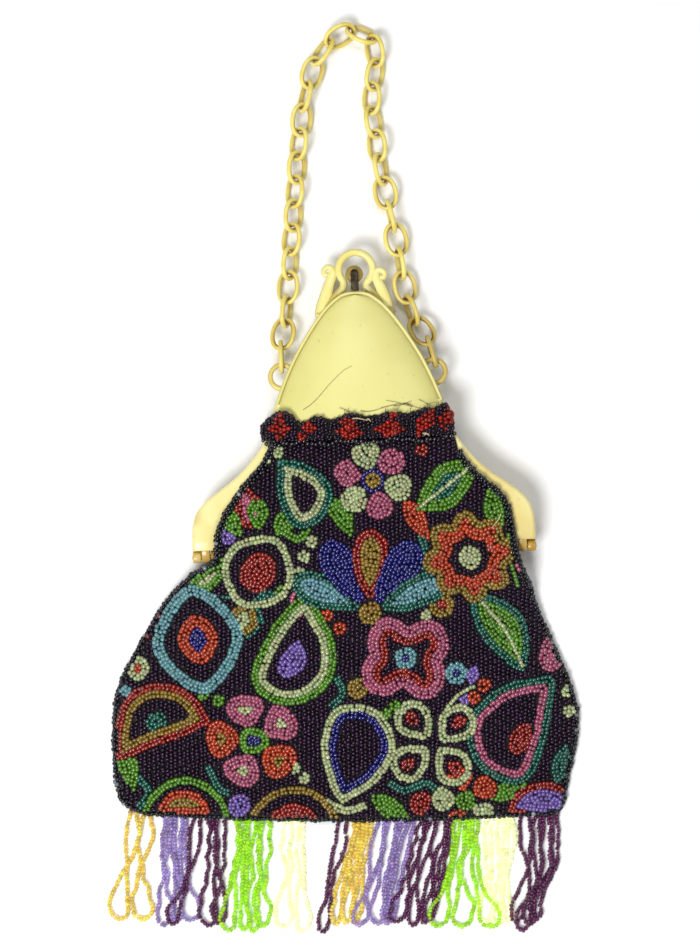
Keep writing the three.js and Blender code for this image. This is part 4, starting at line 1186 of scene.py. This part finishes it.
# %% Beads laid on the front cloth
DOWN, UP, FAR_OFF = Vector((0, 0, -1)), Vector((0, 0, 1)), 0.1
PROBES = ((0, 0), (0.6, 0), (-0.6, 0), (0, -0.6))
PLACE_JITTER, WAY_JITTER, SIZE_JITTER = 0.13, 0.14, 0.05
# Bead sizes are along the thread, across it and upwards.
GROUND_BEAD, FIGURE_BEAD = (1.4, 1.74, 1.5), (1.64, 1.9, 1.66)


def met(tree, x, y, way=DOWN):
    """Where a plumb line first meets a surface, and which way the surface faces there."""
    return tree.ray_cast(Vector((x * MM, y * MM, -way.z * FAR_OFF)), way)[:2]


def lay(tree, spots, lift):
    """Places, thread ways and ups on a cloth for beads sewn in the plane. Beads beyond its edge are left out."""
    places, ways, ups, names = [], [], [], []
    for x, y, wx, wy, name in spots:
        hits = [met(tree, x + dx, y + dy) for dx, dy in PROBES]
        if all(hit[0] for hit in hits):
            up = np.array(hits[0][1])
            along = np.array([wx, wy, 0.0])
            places.append(np.array(hits[0][0]) / MM + up * lift)
            ways.append(along - up * along.dot(up))
            ups.append(up)
            names.append(name)
    return np.array(places), np.array(ways), np.array(ups), names


def dress(name, spots, lift, sizes, spread, glass):
    places, ways, ups, names = lay(front_tree, spots, lift)
    places = places + dice.normal(0, PLACE_JITTER, places.shape)
    ways = ways + dice.normal(0, WAY_JITTER, ways.shape)
    sizes = np.array(sizes) * np.exp(dice.normal(0, SIZE_JITTER, (len(places), 1)))
    tints = toned(names, spread)
    beads(name, fine_bead, places, ways, ups, sizes, tints, glass, ["panel_front"])


for name, low, high in (("left", -200, 0), ("right", 0, 200)):
    part = [p for p in ground if low <= p[0] < high]
    dress(f"ground_beads_{name}", part, 0.7, GROUND_BEAD, 0.25, ground_glass)
for name, low, high in (("lower", -200, -36), ("middle", -36, 10), ("upper", 10, 200)):
    part = [p for p in design if low <= p[1] < high]
    dress(f"figure_beads_{name}", part, 0.85, FIGURE_BEAD, 0.15, figure_glass)

# %% [markdown]
# ## The back
# The back is plain ground of the same beads. It lies on the table and is seen only when the bag is turned over,
# so its beads have fewer faces.

# %% Back beads
BACK_COLUMN, BACK_STEP, BACK_BEAD = 1.86, 1.58, (1.5, 1.78, 1.5)
places, ups = [], []
for n, column in enumerate(np.arange(-92, 89, BACK_COLUMN)):
    for y in np.arange(-79 + (n % 2) * 0.75, 72, BACK_STEP):
        x = column + 0.25 * math.sin(y / 15)
        hits = [met(back_tree, px, y, UP) for px in (x - 0.7, x, x + 0.7)]
        if all(hit[0] for hit in hits):
            up = np.array(hits[1][1])
            places.append(np.array(hits[1][0]) / MM + up * 0.7)
            ups.append(up)
ways = [(*UPRIGHT, 0)] * len(places)
tints = toned(["aubergine"] * len(places), 0.16)
beads("back_beads", plain_bead, places, ways, ups, BACK_BEAD, tints, ground_glass, ["panel_back"])

# %% [markdown]
# ## Edging
# Strings of black beads with a blue and green shimmer cover the side seams and the bottom seam. Four strings lie
# round a line that runs just outside the cloth. The shimmer is painted: a change of tone from bead to bead, and a
# few pale grey beads are painted glints.

# %% Edging strings
SEAM_OUT, SEAM_HIGH, SEAM_POINTS = 1.7, 4.3, 160
STRING_TURNS, STRING_OUT, EDGING_STEP = (70, 170, 250, 340), 0.8, 1.8
EDGING_BEAD = (1.6, 1.85, 1.85)
drops = np.linspace(0, POUCH_LONG - CLOTH_EDGE, SEAM_POINTS)
across = np.linspace(-1, 1, SEAM_POINTS)
low = np.full(SEAM_POINTS, POUCH_LONG - CLOTH_EDGE)
u = np.concatenate([np.full(SEAM_POINTS, -1.0), across[1:-1], np.full(SEAM_POINTS, 1.0)])
d = np.concatenate([drops, low[1:-1], drops[::-1]])
x, y = pouch_place(u, d)
z = np.where(np.abs(u) < 1, front_height(u, d) * 0.4 + SEAM_HIGH * 0.6, pouch["edge"](d))
seam = np.c_[x, y, z]
ahead = unit(np.gradient(seam[:, :2], axis=0))
seam[:, :2] += np.c_[ahead[:, 1], -ahead[:, 0]] * SEAM_OUT
seam[:, 2] -= 2.1 - 1.6 * np.clip((z - SEAM_HIGH) / 10, 0, 1)
seam = smooth_way(seam[::6], 900)
long = float(np.linalg.norm(np.diff(seam, axis=0), axis=1).sum())
places, ways, ups = [], [], []
for k, turn in enumerate(STRING_TURNS):
    line = smooth_way(seam[::9], int(long / EDGING_STEP))
    way = unit(np.gradient(line, axis=0))
    side = unit(np.cross(way, (0, 0, 1.0)))
    top = np.cross(side, way)
    out = side * math.cos(math.radians(turn)) + top * math.sin(math.radians(turn))
    places.append(line + out * STRING_OUT + way * (0.8 * (k % 2)) + dice.normal(0, 0.16, line.shape))
    ways.append(way + dice.normal(0, 0.2, way.shape))
    ups.append(out)
places = np.vstack(places)
ways, ups = np.vstack(ways), np.vstack(ups)
# Each painted tone of the shimmer and the share of the beads that has it. The pale grey one is a painted glint.
SHIMMER = [(paint(12, 13, 18), 0.3), (paint(8, 22, 26), 0.25), (paint(22, 12, 30), 0.17), (paint(4, 4, 6), 0.25),
           (paint(108, 116, 128), 0.03)]
tones = np.array([tone for tone, _ in SHIMMER])[:, :3]
picked = dice.choice(len(tones), len(places), p=[share for _, share in SHIMMER])
tints = tones[picked] * np.exp(dice.normal(0, 0.3, (len(places), 1)))
sizes = np.array(EDGING_BEAD) * np.exp(dice.normal(0, 0.08, (len(places), 1)))
beads("edging_beads", fine_bead, places, ways, ups, sizes, tints, edging_glass, ["edge_trim"])
print("edging", round(long), "mm long")

# %% [markdown]
# ## The band
# Above the pouch a gathered band folds over the lower edge of the plates. Its swells and gathers come from a
# table across the frame. The beads run up over its rounded section in bunched columns, with red lozenges on the
# aubergine.

# %% Band shape
GATHERS = columns("x top out", [
    (-37.6, 49.7, 0.7), (-29.6, 46.5, 1.3), (-22.1, 51.2, 0.55), (-16.2, 48.7, 0.95), (-10.8, 50, 0.6),
    (-3.7, 48.3, 1.15), (4.1, 49.6, 0.55), (11.8, 48.3, 1.2), (19.1, 48.9, 0.6), (25.6, 47.1, 1.15),
    (30.1, 46.9, 0.7), (33.9, 45.1, 1.1), (36.4, 48.8, 0.7),
])
band_top = reading(GATHERS, "x", "top")
band_out = reading(GATHERS, "x", "out")
BAND_BOTTOM, BAND_TALL, BAND_THICK = 59.1, 10.5, 3.3
# The band's section: shares of its height from its lower edge up, and of its thickness.
BAND_SECTION = np.array([(0, 0), (0, 0.4), (0.06, 0.66), (0.16, 0.86), (0.42, 1), (0.74, 0.96), (0.88, 0.84),
                         (0.96, 0.66), (1, 0.3), (0.97, 0)])


def plate_face(x, below):
    share = np.clip(np.abs(x) / half(below), 0, 1)
    return RIM + crown(below) * (1 - share**2.2) ** 0.8


def band_seat(x):
    high = 0.0
    for below in np.arange(44, BAND_BOTTOM, 1.5):
        wide = float(half(below))
        if below <= PLATE_END:
            high = max(high, float(plate_face(min(abs(x), wide - 0.2), below)))
        if abs(x) > wide - float(leg_wide(below)) - 1:
            high = max(high, float(leg_thick(below)))
    return SPLIT + high + 0.3


def band_point(x, up, out, side, shrink=0.0):
    front = side > 0
    end = 1 - np.clip(min(x + 38.8, 37.8 - x) / 4, 0, 1)
    up, out = 0.5 + (up - 0.5) * (1 - 0.5 * end**2), out * (1 - 0.35 * end**2)
    top = float(band_top(x)) if front else 49.0
    thick = BAND_THICK * float(band_out(x)) if front else 2.3
    below = BAND_BOTTOM - shrink + (top - BAND_BOTTOM + 2 * shrink) * up
    return np.array([x, -below, side * (band_seat(x) + out * (thick - shrink))])


for side, name in ((1, "front"), (-1, "back")):
    rows = []
    for x in np.linspace(-38.0, 37.0, 80):
        end = 0.6 if x in (-38.0, 37.0) else 1.0
        section = [band_point(x, 0.5 + (up - 0.5) * end, out * end, side, 0.75) for up, out in BAND_SECTION]
        if side > 0 and -9 < x < 34:
            for k in (-3, -2, -1):
                section[k][1] += 0.4 + 0.5 * math.sin(x * 1.9) * math.sin(x * 0.7)
        rows.append([*section, section[0]])
    settle(skin(laid(rows), closed=True), f"band_cloth_{name}", dark_cloth, [f"band_{name}"], 60)

# %% Band beads
# Red lozenges: middle, half width, half height and slant, in the plane of the table.
LOZENGES = [(-27.7, 76.6, 4.2, 5.6, 0), (-16, 76.8, 3.2, 2.9, 0), (-19.3, 73.1, 2.1, 1.8, 0),
            (0, 74.9, 5.5, 4.0, 0.2), (-1.2, 79.1, 3.4, 2.1, 0), (15.2, 76.0, 5.9, 4.2, 0.25),
            (16.2, 81, 2.2, 1.9, 0), (29.7, 78.7, 4.2, 5.6, 0.5), (38, 80.1, 3.4, 5.2, 0.3)]
BAND_COLUMN, BAND_STEP, BAND_BEAD = 1.5, 1.4, np.array((1.38, 1.72, 1.66))


def in_lozenge(x, y):
    return any(abs(x - a - slant * (y - b)) / w + abs(y - b) / h < 1 for a, b, w, h, slant in LOZENGES)


section_steps = np.diff(BAND_SECTION, axis=0) * (BAND_TALL, BAND_THICK)
section_far = np.concatenate([[0], np.cumsum(np.hypot(*section_steps.T))])
for side, name, model in ((1, "front", fine_bead), (-1, "back", plain_bead)):
    places, ways, ups, names, sizes, shade = [], [], [], [], [], []
    for n, x0 in enumerate(np.arange(-38.6, 37.6, BAND_COLUMN)):
        for far in np.arange(0.4 + (n % 2) * 0.7, section_far[-1] - 0.2, BAND_STEP):
            x = float(np.clip(x0 + dice.normal(0, 0.2), -38.7, 37.7))
            f = far + dice.normal(0, 0.16)
            spot = [np.interp(f + e, section_far, column) for e in (0, 0.4) for column in BAND_SECTION.T]
            here = band_point(x, spot[0], spot[1], side)
            way = band_point(x, spot[2], spot[3], side) - here
            beside = band_point(x + 0.4, spot[0], spot[1], side) - here
            up = unit(np.cross(beside, way)) * side
            here = laid(here)
            red = side > 0 and in_lozenge(here[0], here[1])
            fold = np.clip((float(band_out(x)) - 0.5) / 0.5, 0, 1) if side > 0 else 1.0
            bare = side > 0 and -16 < x < 34 and spot[0] > 0.93
            if bare or not red and side > 0 and dice.random() < 0.3 - 0.26 * fold:
                continue
            places.append(here - up * (0.75 - 0.4 * red - 0.2 * fold + dice.normal(0, 0.12)))
            ways.append(way)
            ups.append(up)
            names.append("red" if red else "aubergine")
            sizes.append(BAND_BEAD * math.exp(dice.normal(0.06 * red, 0.06)))
            shade.append(1.25 if red else 0.4 + 0.6 * fold)
    tints = np.clip(toned(names, 0.25, 0.36) * np.array(shade)[:, None], 0, 1)
    beads(f"band_beads_{name}", model, places, ways, ups, sizes, tints, ground_glass,
          [f"band_{name}"])

# %% [markdown]
# ## The gathering string, frayed edge and loose threads
# A string of black beads draws the pouch in under the band. Over the plate the turned edge of the cloth has
# frayed into short dark fibres, straw-coloured thread ends are left of an old repair, one of them on the beads,
# and a hair-fine thread lies over the plate. Threads are thin bars of four sides, all of one colour joined.

# %% Gathering string
STRING_STEP, STRING_BEAD = 1.6, (1.5, 1.8, 1.8)
string = []
for x in np.arange(-38.2, 37.6, STRING_STEP):
    slack = 0.7 + 0.5 * math.sin(x * 0.32) + 0.3 * math.sin(x * 0.9)
    string.append(band_point(x, 0.0, 0.62, 1) - (0, slack, 0))
string = np.array(string)
string = laid(string + dice.normal(0, 0.2, string.shape))
ups = np.tile((0, -0.4, 1.0), (len(string), 1))
tints = toned(["black"] * len(string), 0.4)
beads("gathering_string", fine_bead, string, np.gradient(string, axis=0), ups, STRING_BEAD, tints, figure_glass,
      ["band_front"])

# %% Loose threads
plate_tree = BVHTree.FromObject(bpy.data.objects["plate_front"], bpy.context.evaluated_depsgraph_get())


def threads(name, ways, thick, material):
    corners, faces = [], []
    for way in ways:
        rows = bar(way, [thick, thick * 0.6], [thick, thick * 0.6], 9, 4)[:, :4]
        start = sum(len(part) for part in corners)
        end = start + 4 * (len(rows) - 1)
        corners.append(rows.reshape(-1, 3))
        for k in range(start, end, 4):
            for j in range(4):
                a, b = k + j, k + (j + 1) % 4
                faces.append((a, b, b + 4, a + 4))
        faces += [tuple(range(start, start + 4))[::-1], tuple(range(end, end + 4))]
    mesh = bpy.data.meshes.new(name)
    mesh.from_pydata((np.vstack(corners) * MM).tolist(), [], faces)
    piece = bpy.data.objects.new(name, mesh)
    scene.collection.objects.link(piece)
    only(piece)
    bpy.ops.object.mode_set(mode="EDIT")
    bpy.ops.mesh.select_all(action="SELECT")
    bpy.ops.mesh.normals_make_consistent(inside=False)
    bpy.ops.object.mode_set(mode="OBJECT")
    return settle(piece, name, material, (), 60)


def over(tree, points, lift):
    """Points a little above a surface."""
    return [(x, y, met(tree, x, y)[0].z / MM + lift) for x, y in points]


# %% Frayed edge and hair
# Longer fibres on the plate: where each starts, and how far it runs.
LONG_FIBRES = ((4, 84, 9), (12, 84.8, 12), (24, 86, -10), (-4, 83.4, 7), (17, 86.2, 7), (21, 85.2, 8),
               (27, 86.4, 5))
HAIR = [(-18.4, 83.5), (-15.2, 85.6), (-12.0, 88.8), (-9.2, 92.2), (-6.0, 95.6), (-2.4, 99.0), (0.8, 100.7)]
FINE_THREAD = 0.2
fibres = []
for x in dice.uniform(-9, 34, 11):
    foot = laid(band_point(x, 1.0, 0.35, 1)) + (0, 0.9, 0)
    reach = dice.uniform(0.3, 1.1)
    lean = dice.normal(0.6, 1.6)
    middle = foot + (lean * reach * 0.4, reach * 0.7, 0.5)
    fibres.append([foot - (0, 1, 0), foot, middle, foot + (lean * reach, reach, dice.uniform(-0.3, 0.7))])
for x, y, run in LONG_FIBRES:
    line = [(x + run * k, y + 1.2 * math.sin(2.6 * k + x)) for k in (0, 0.3, 0.6, 1)]
    fibres.append(over(plate_tree, line, 0.5 + 0.2 * dice.random()))
threads("frayed_edge", fibres, FINE_THREAD, dark_thread)
threads("hair_on_plate", [over(plate_tree, HAIR, 0.14)], FINE_THREAD, dark_thread)

# %% Straw threads
# Ends on the band: where each starts, and how far it runs and rises. The last thread lies on the beads below.
STRAW_ENDS = ((0.8, 79.9, 5.4, -0.5), (6.4, 79.3, 1.3, 0.5), (6.6, 79.7, 1.5, -0.8), (28.4, 74.2, 2.2, -0.5),
              (28.9, 73.7, 2.0, 0.3), (29.3, 74.3, 1.6, -1.0))
LOOSE = [(59.0, 42.8), (58.3, 40.9), (57.0, 39.2), (55.4, 37.3)]
STRAW_WIDE = 0.5
straw = []
for x, y, run, rise in STRAW_ENDS:
    x0 = x - TIP[0]
    z = TIP[2] + band_seat(x0) + BAND_THICK * float(band_out(x0)) + 0.55
    straw.append([(x, y, z - 0.4), (x + run * 0.4, y + rise * 0.3 + 0.3, z + 0.2), (x + run, y + rise, z - 0.2)])
straw.append(over(front_tree, LOOSE, 2.0))
threads("straw_threads", straw, STRAW_WIDE, straw_thread)

# %% [markdown]
# ## Fringe
# The fringe is made of loops: a string of clear beads leaves the seam, hangs down, turns and comes back. As the
# bag lies, some loops open into a drop, and some cross and make a figure of eight. Each row of the table is one
# loop: its group, the middle of its two strings at the seam, half way down and at its end, half the space between
# them at the seam and lower down, how wide its end is, how low it hangs, and the share of its length where the
# strings cross, or 0. A string that crosses another lies on top of it.

# %% Loops of the fringe
LOOPS = columns("group head waist tip apart belly wide low cross", [
    (1, -86.6, -88.3, -91.6, 1.0, 2.3, 7.2, -119.8, 0.5), (1, -81.2, -83.2, -82.8, 1.4, 2.7, 7.8, -119.8, 0.5),
    (2, -73.6, -74.0, -74.2, 0.9, 1.0, 6.4, -122, 0), (2, -70.2, -70.2, -69.5, 0.8, 0.9, 3.5, -120.5, 0),
    (2, -66.8, -66.4, -63.7, 0.8, 0.9, 7.0, -120, 0), (3, -60.4, -64.3, -70.6, 1.0, 2.0, 3.9, -121.8, 0),
    (3, -55.8, -56.2, -56.4, 1.0, 1.6, 6.4, -122.2, 0), (3, -50.6, -52.4, -52.6, 1.6, 2.4, 5.6, -121, 0.62),
    (4, -44.6, -45.4, -48.6, 0.8, 0.9, 5.4, -124.2, 0), (4, -41.4, -42.0, -42.2, 0.8, 0.9, 4.2, -124, 0),
    (4, -38.0, -38.4, -38.6, 0.8, 1.0, 3.8, -124.6, 0), (4, -34.4, -34.4, -34.9, 1.0, 1.9, 5.4, -122.4, 0),
    (5, -25.4, -25.6, -27.4, 1.3, 1.5, 6.5, -122.7, 0), (5, -20.6, -20.4, -19.4, 1.3, 1.5, 6.2, -124.6, 0),
    (6, -3.0, -7.2, -10.8, 1.2, 1.7, 4.2, -125, 0), (7, 2.0, -1.6, -5.6, 0.9, 1.0, 3.6, -121.6, 0),
    (7, 5.0, 1.6, -1.8, 0.9, 1.4, 3.8, -121.2, 0.55), (7, 8.2, 5.0, 2.0, 0.9, 1.2, 3.6, -120.4, 0),
    (8, 12.6, 9.0, 4.0, 1.0, 1.8, 6.2, -121.8, 0.66), (8, 17.4, 13.8, 11.2, 1.0, 1.8, 5.0, -121.4, 0),
    (8, 21.4, 16.8, 14.6, 0.9, 1.0, 4.4, -121.4, 0), (8, 25.0, 20.0, 16.6, 0.9, 1.0, 3.4, -119.8, 0),
    (9, 29.2, 24.0, 18.8, 1.0, 1.8, 6.6, -120.4, 0), (9, 33.2, 28.4, 25.4, 1.0, 2.2, 4.2, -122.2, 0.5),
    (9, 36.4, 33.6, 29.8, 1.2, 2.4, 5.0, -121, 0.42), (9, 39.4, 36.4, 31.6, 0.8, 1.4, 4.0, -119.6, 0),
    (11, 55.4, 55.0, 54.0, 1.0, 1.3, 5.0, -121, 0), (11, 59.6, 59.2, 59.0, 1.0, 1.2, 4.6, -121.8, 0),
    (11, 63.8, 62.6, 62.6, 1.0, 1.4, 4.6, -120.4, 0), (10, 43.0, 40.2, 35.4, 0.8, 0.9, 6.6, -122.4, 0),
    (10, 46.6, 45.0, 44.6, 0.8, 1.0, 7.4, -122.4, 0), (10, 49.8, 49.2, 56.2, 0.8, 1.0, 8.4, -122.6, 0),
    (12, 70.0, 71.4, 66.2, 1.4, 2.2, 5.2, -120.4, 0.5), (12, 75.4, 74.6, 68.8, 1.0, 2.0, 5.4, -124, 0.6),
    (12, 78.8, 77.4, 71.4, 0.9, 1.6, 5.0, -121.6, 0), (12, 82.0, 80.8, 74.2, 0.9, 1.5, 4.4, -119.4, 0),
])
GROUPS = "gold lilac purple lime lemon purple gold lilac purple lime lemon purple".split()
GROUP_GLASS = {
    "gold": ("gold", fringe_glass), "lilac": ("mauve", fringe_glass), "purple": ("violet", fringe_glass),
    "lime": ("leaf", fringe_glass), "lemon": ("lemon", pale_glass),
}
FRINGE_STEP, FRINGE_BEAD = 1.42, (1.5, 2.0, 2.0)
ON_TABLE, HIGHEST, TOUCHING, RESTING = 1.05, 4.2, 1.35, 1.5


def sway(t, reach):
    """A slow sideways wander that is nothing at both ends."""
    parts = [dice.normal(0, k**-0.6) * np.sin(math.pi * k * t) for k in (1, 2, 3, 5, 8, 12)]
    return reach * sum(parts)


def loop_line(head, waist, tip, apart, belly, wide, low, cross):
    """The way of one loop in the plane, down one string, round the end and up the other."""
    top = -76.6 - 2.6 * (1 - (head / 90) ** 2)
    t = np.linspace(0, 1, 120)
    middle = reading(columns("t x", [(0, head), (0.22, head + (waist - head) * 0.42), (0.5, waist),
                                     (0.72, waist + (tip - waist) * 0.6), (0.9, tip), (1, tip)]), "t", "x")(t)
    if cross:
        marks = [(0, apart), (cross * 0.5, belly), (cross, 0), (cross + 0.08, -0.7), (0.88, -wide / 2),
                 (0.96, -wide * 0.4), (1, 0)]
    else:
        marks = [(0, apart), (0.3, belly), (0.58, min(belly, 0.95)), (0.7, wide * 0.26), (0.88, wide / 2),
                 (0.96, wide * 0.4), (1, 0)]
    gap = reading(columns("t s", marks), "t", "s")(t)
    y = top + (low - top) * t
    both = sway(t, 0.6)
    down = np.c_[middle - gap + both + sway(t, 0.42), y]
    back = np.c_[middle + gap + both + sway(t, 0.42), y]
    return np.vstack([down, back[::-1][1:]])


def pile(way, others, z):
    """How high beads of a string lie on beads that are there already."""
    for i, p in enumerate(way):
        near = np.hypot(others[:, 0] - p[0], others[:, 1] - p[1])
        touch = near < TOUCHING
        if touch.any():
            z[i] = max(z[i], float((others[touch, 2] + np.sqrt(RESTING**2 - near[touch] ** 2)).max()))
    return z


laid_beads = np.zeros((0, 3))
loops = {}
for group, *row in zip(*LOOPS.values()):
    way = even_line(loop_line(*row), FRINGE_STEP, False)
    turn_at = len(way) // 2
    z = pile(way, laid_beads, np.full(len(way), ON_TABLE))
    first = np.c_[way, z][: turn_at - 4]
    z[turn_at + 4:] = pile(way[turn_at + 4:], first, z[turn_at + 4:])
    z = np.minimum(z, HIGHEST)
    z = np.convolve(np.pad(z, 2, mode="edge"), [0.15, 0.22, 0.26, 0.22, 0.15], mode="valid")
    line = np.c_[way, z]
    laid_beads = np.vstack([laid_beads, line])
    loops.setdefault(int(group), []).append(line)
for group, lines in loops.items():
    colour = GROUPS[group - 1]
    places = np.vstack(lines) + dice.normal(0, 0.1, (sum(map(len, lines)), 3))
    ways = np.vstack([unit(np.gradient(line, axis=0)) for line in lines])
    ups = np.tile((0, 0, 1.0), (len(places), 1))
    tint, glass = GROUP_GLASS[colour]
    tints = toned([tint] * len(places), 0.13, 0.0)
    sizes = np.array(FRINGE_BEAD) * np.exp(dice.normal(0, 0.07, (len(places), 1)))
    beads(f"loops_{group:02d}_{colour}", round_bead, places, ways, ups, sizes, tints, glass,
          [f"fringe_{group:02d}_{colour}"])
print("fringe beads", len(laid_beads))
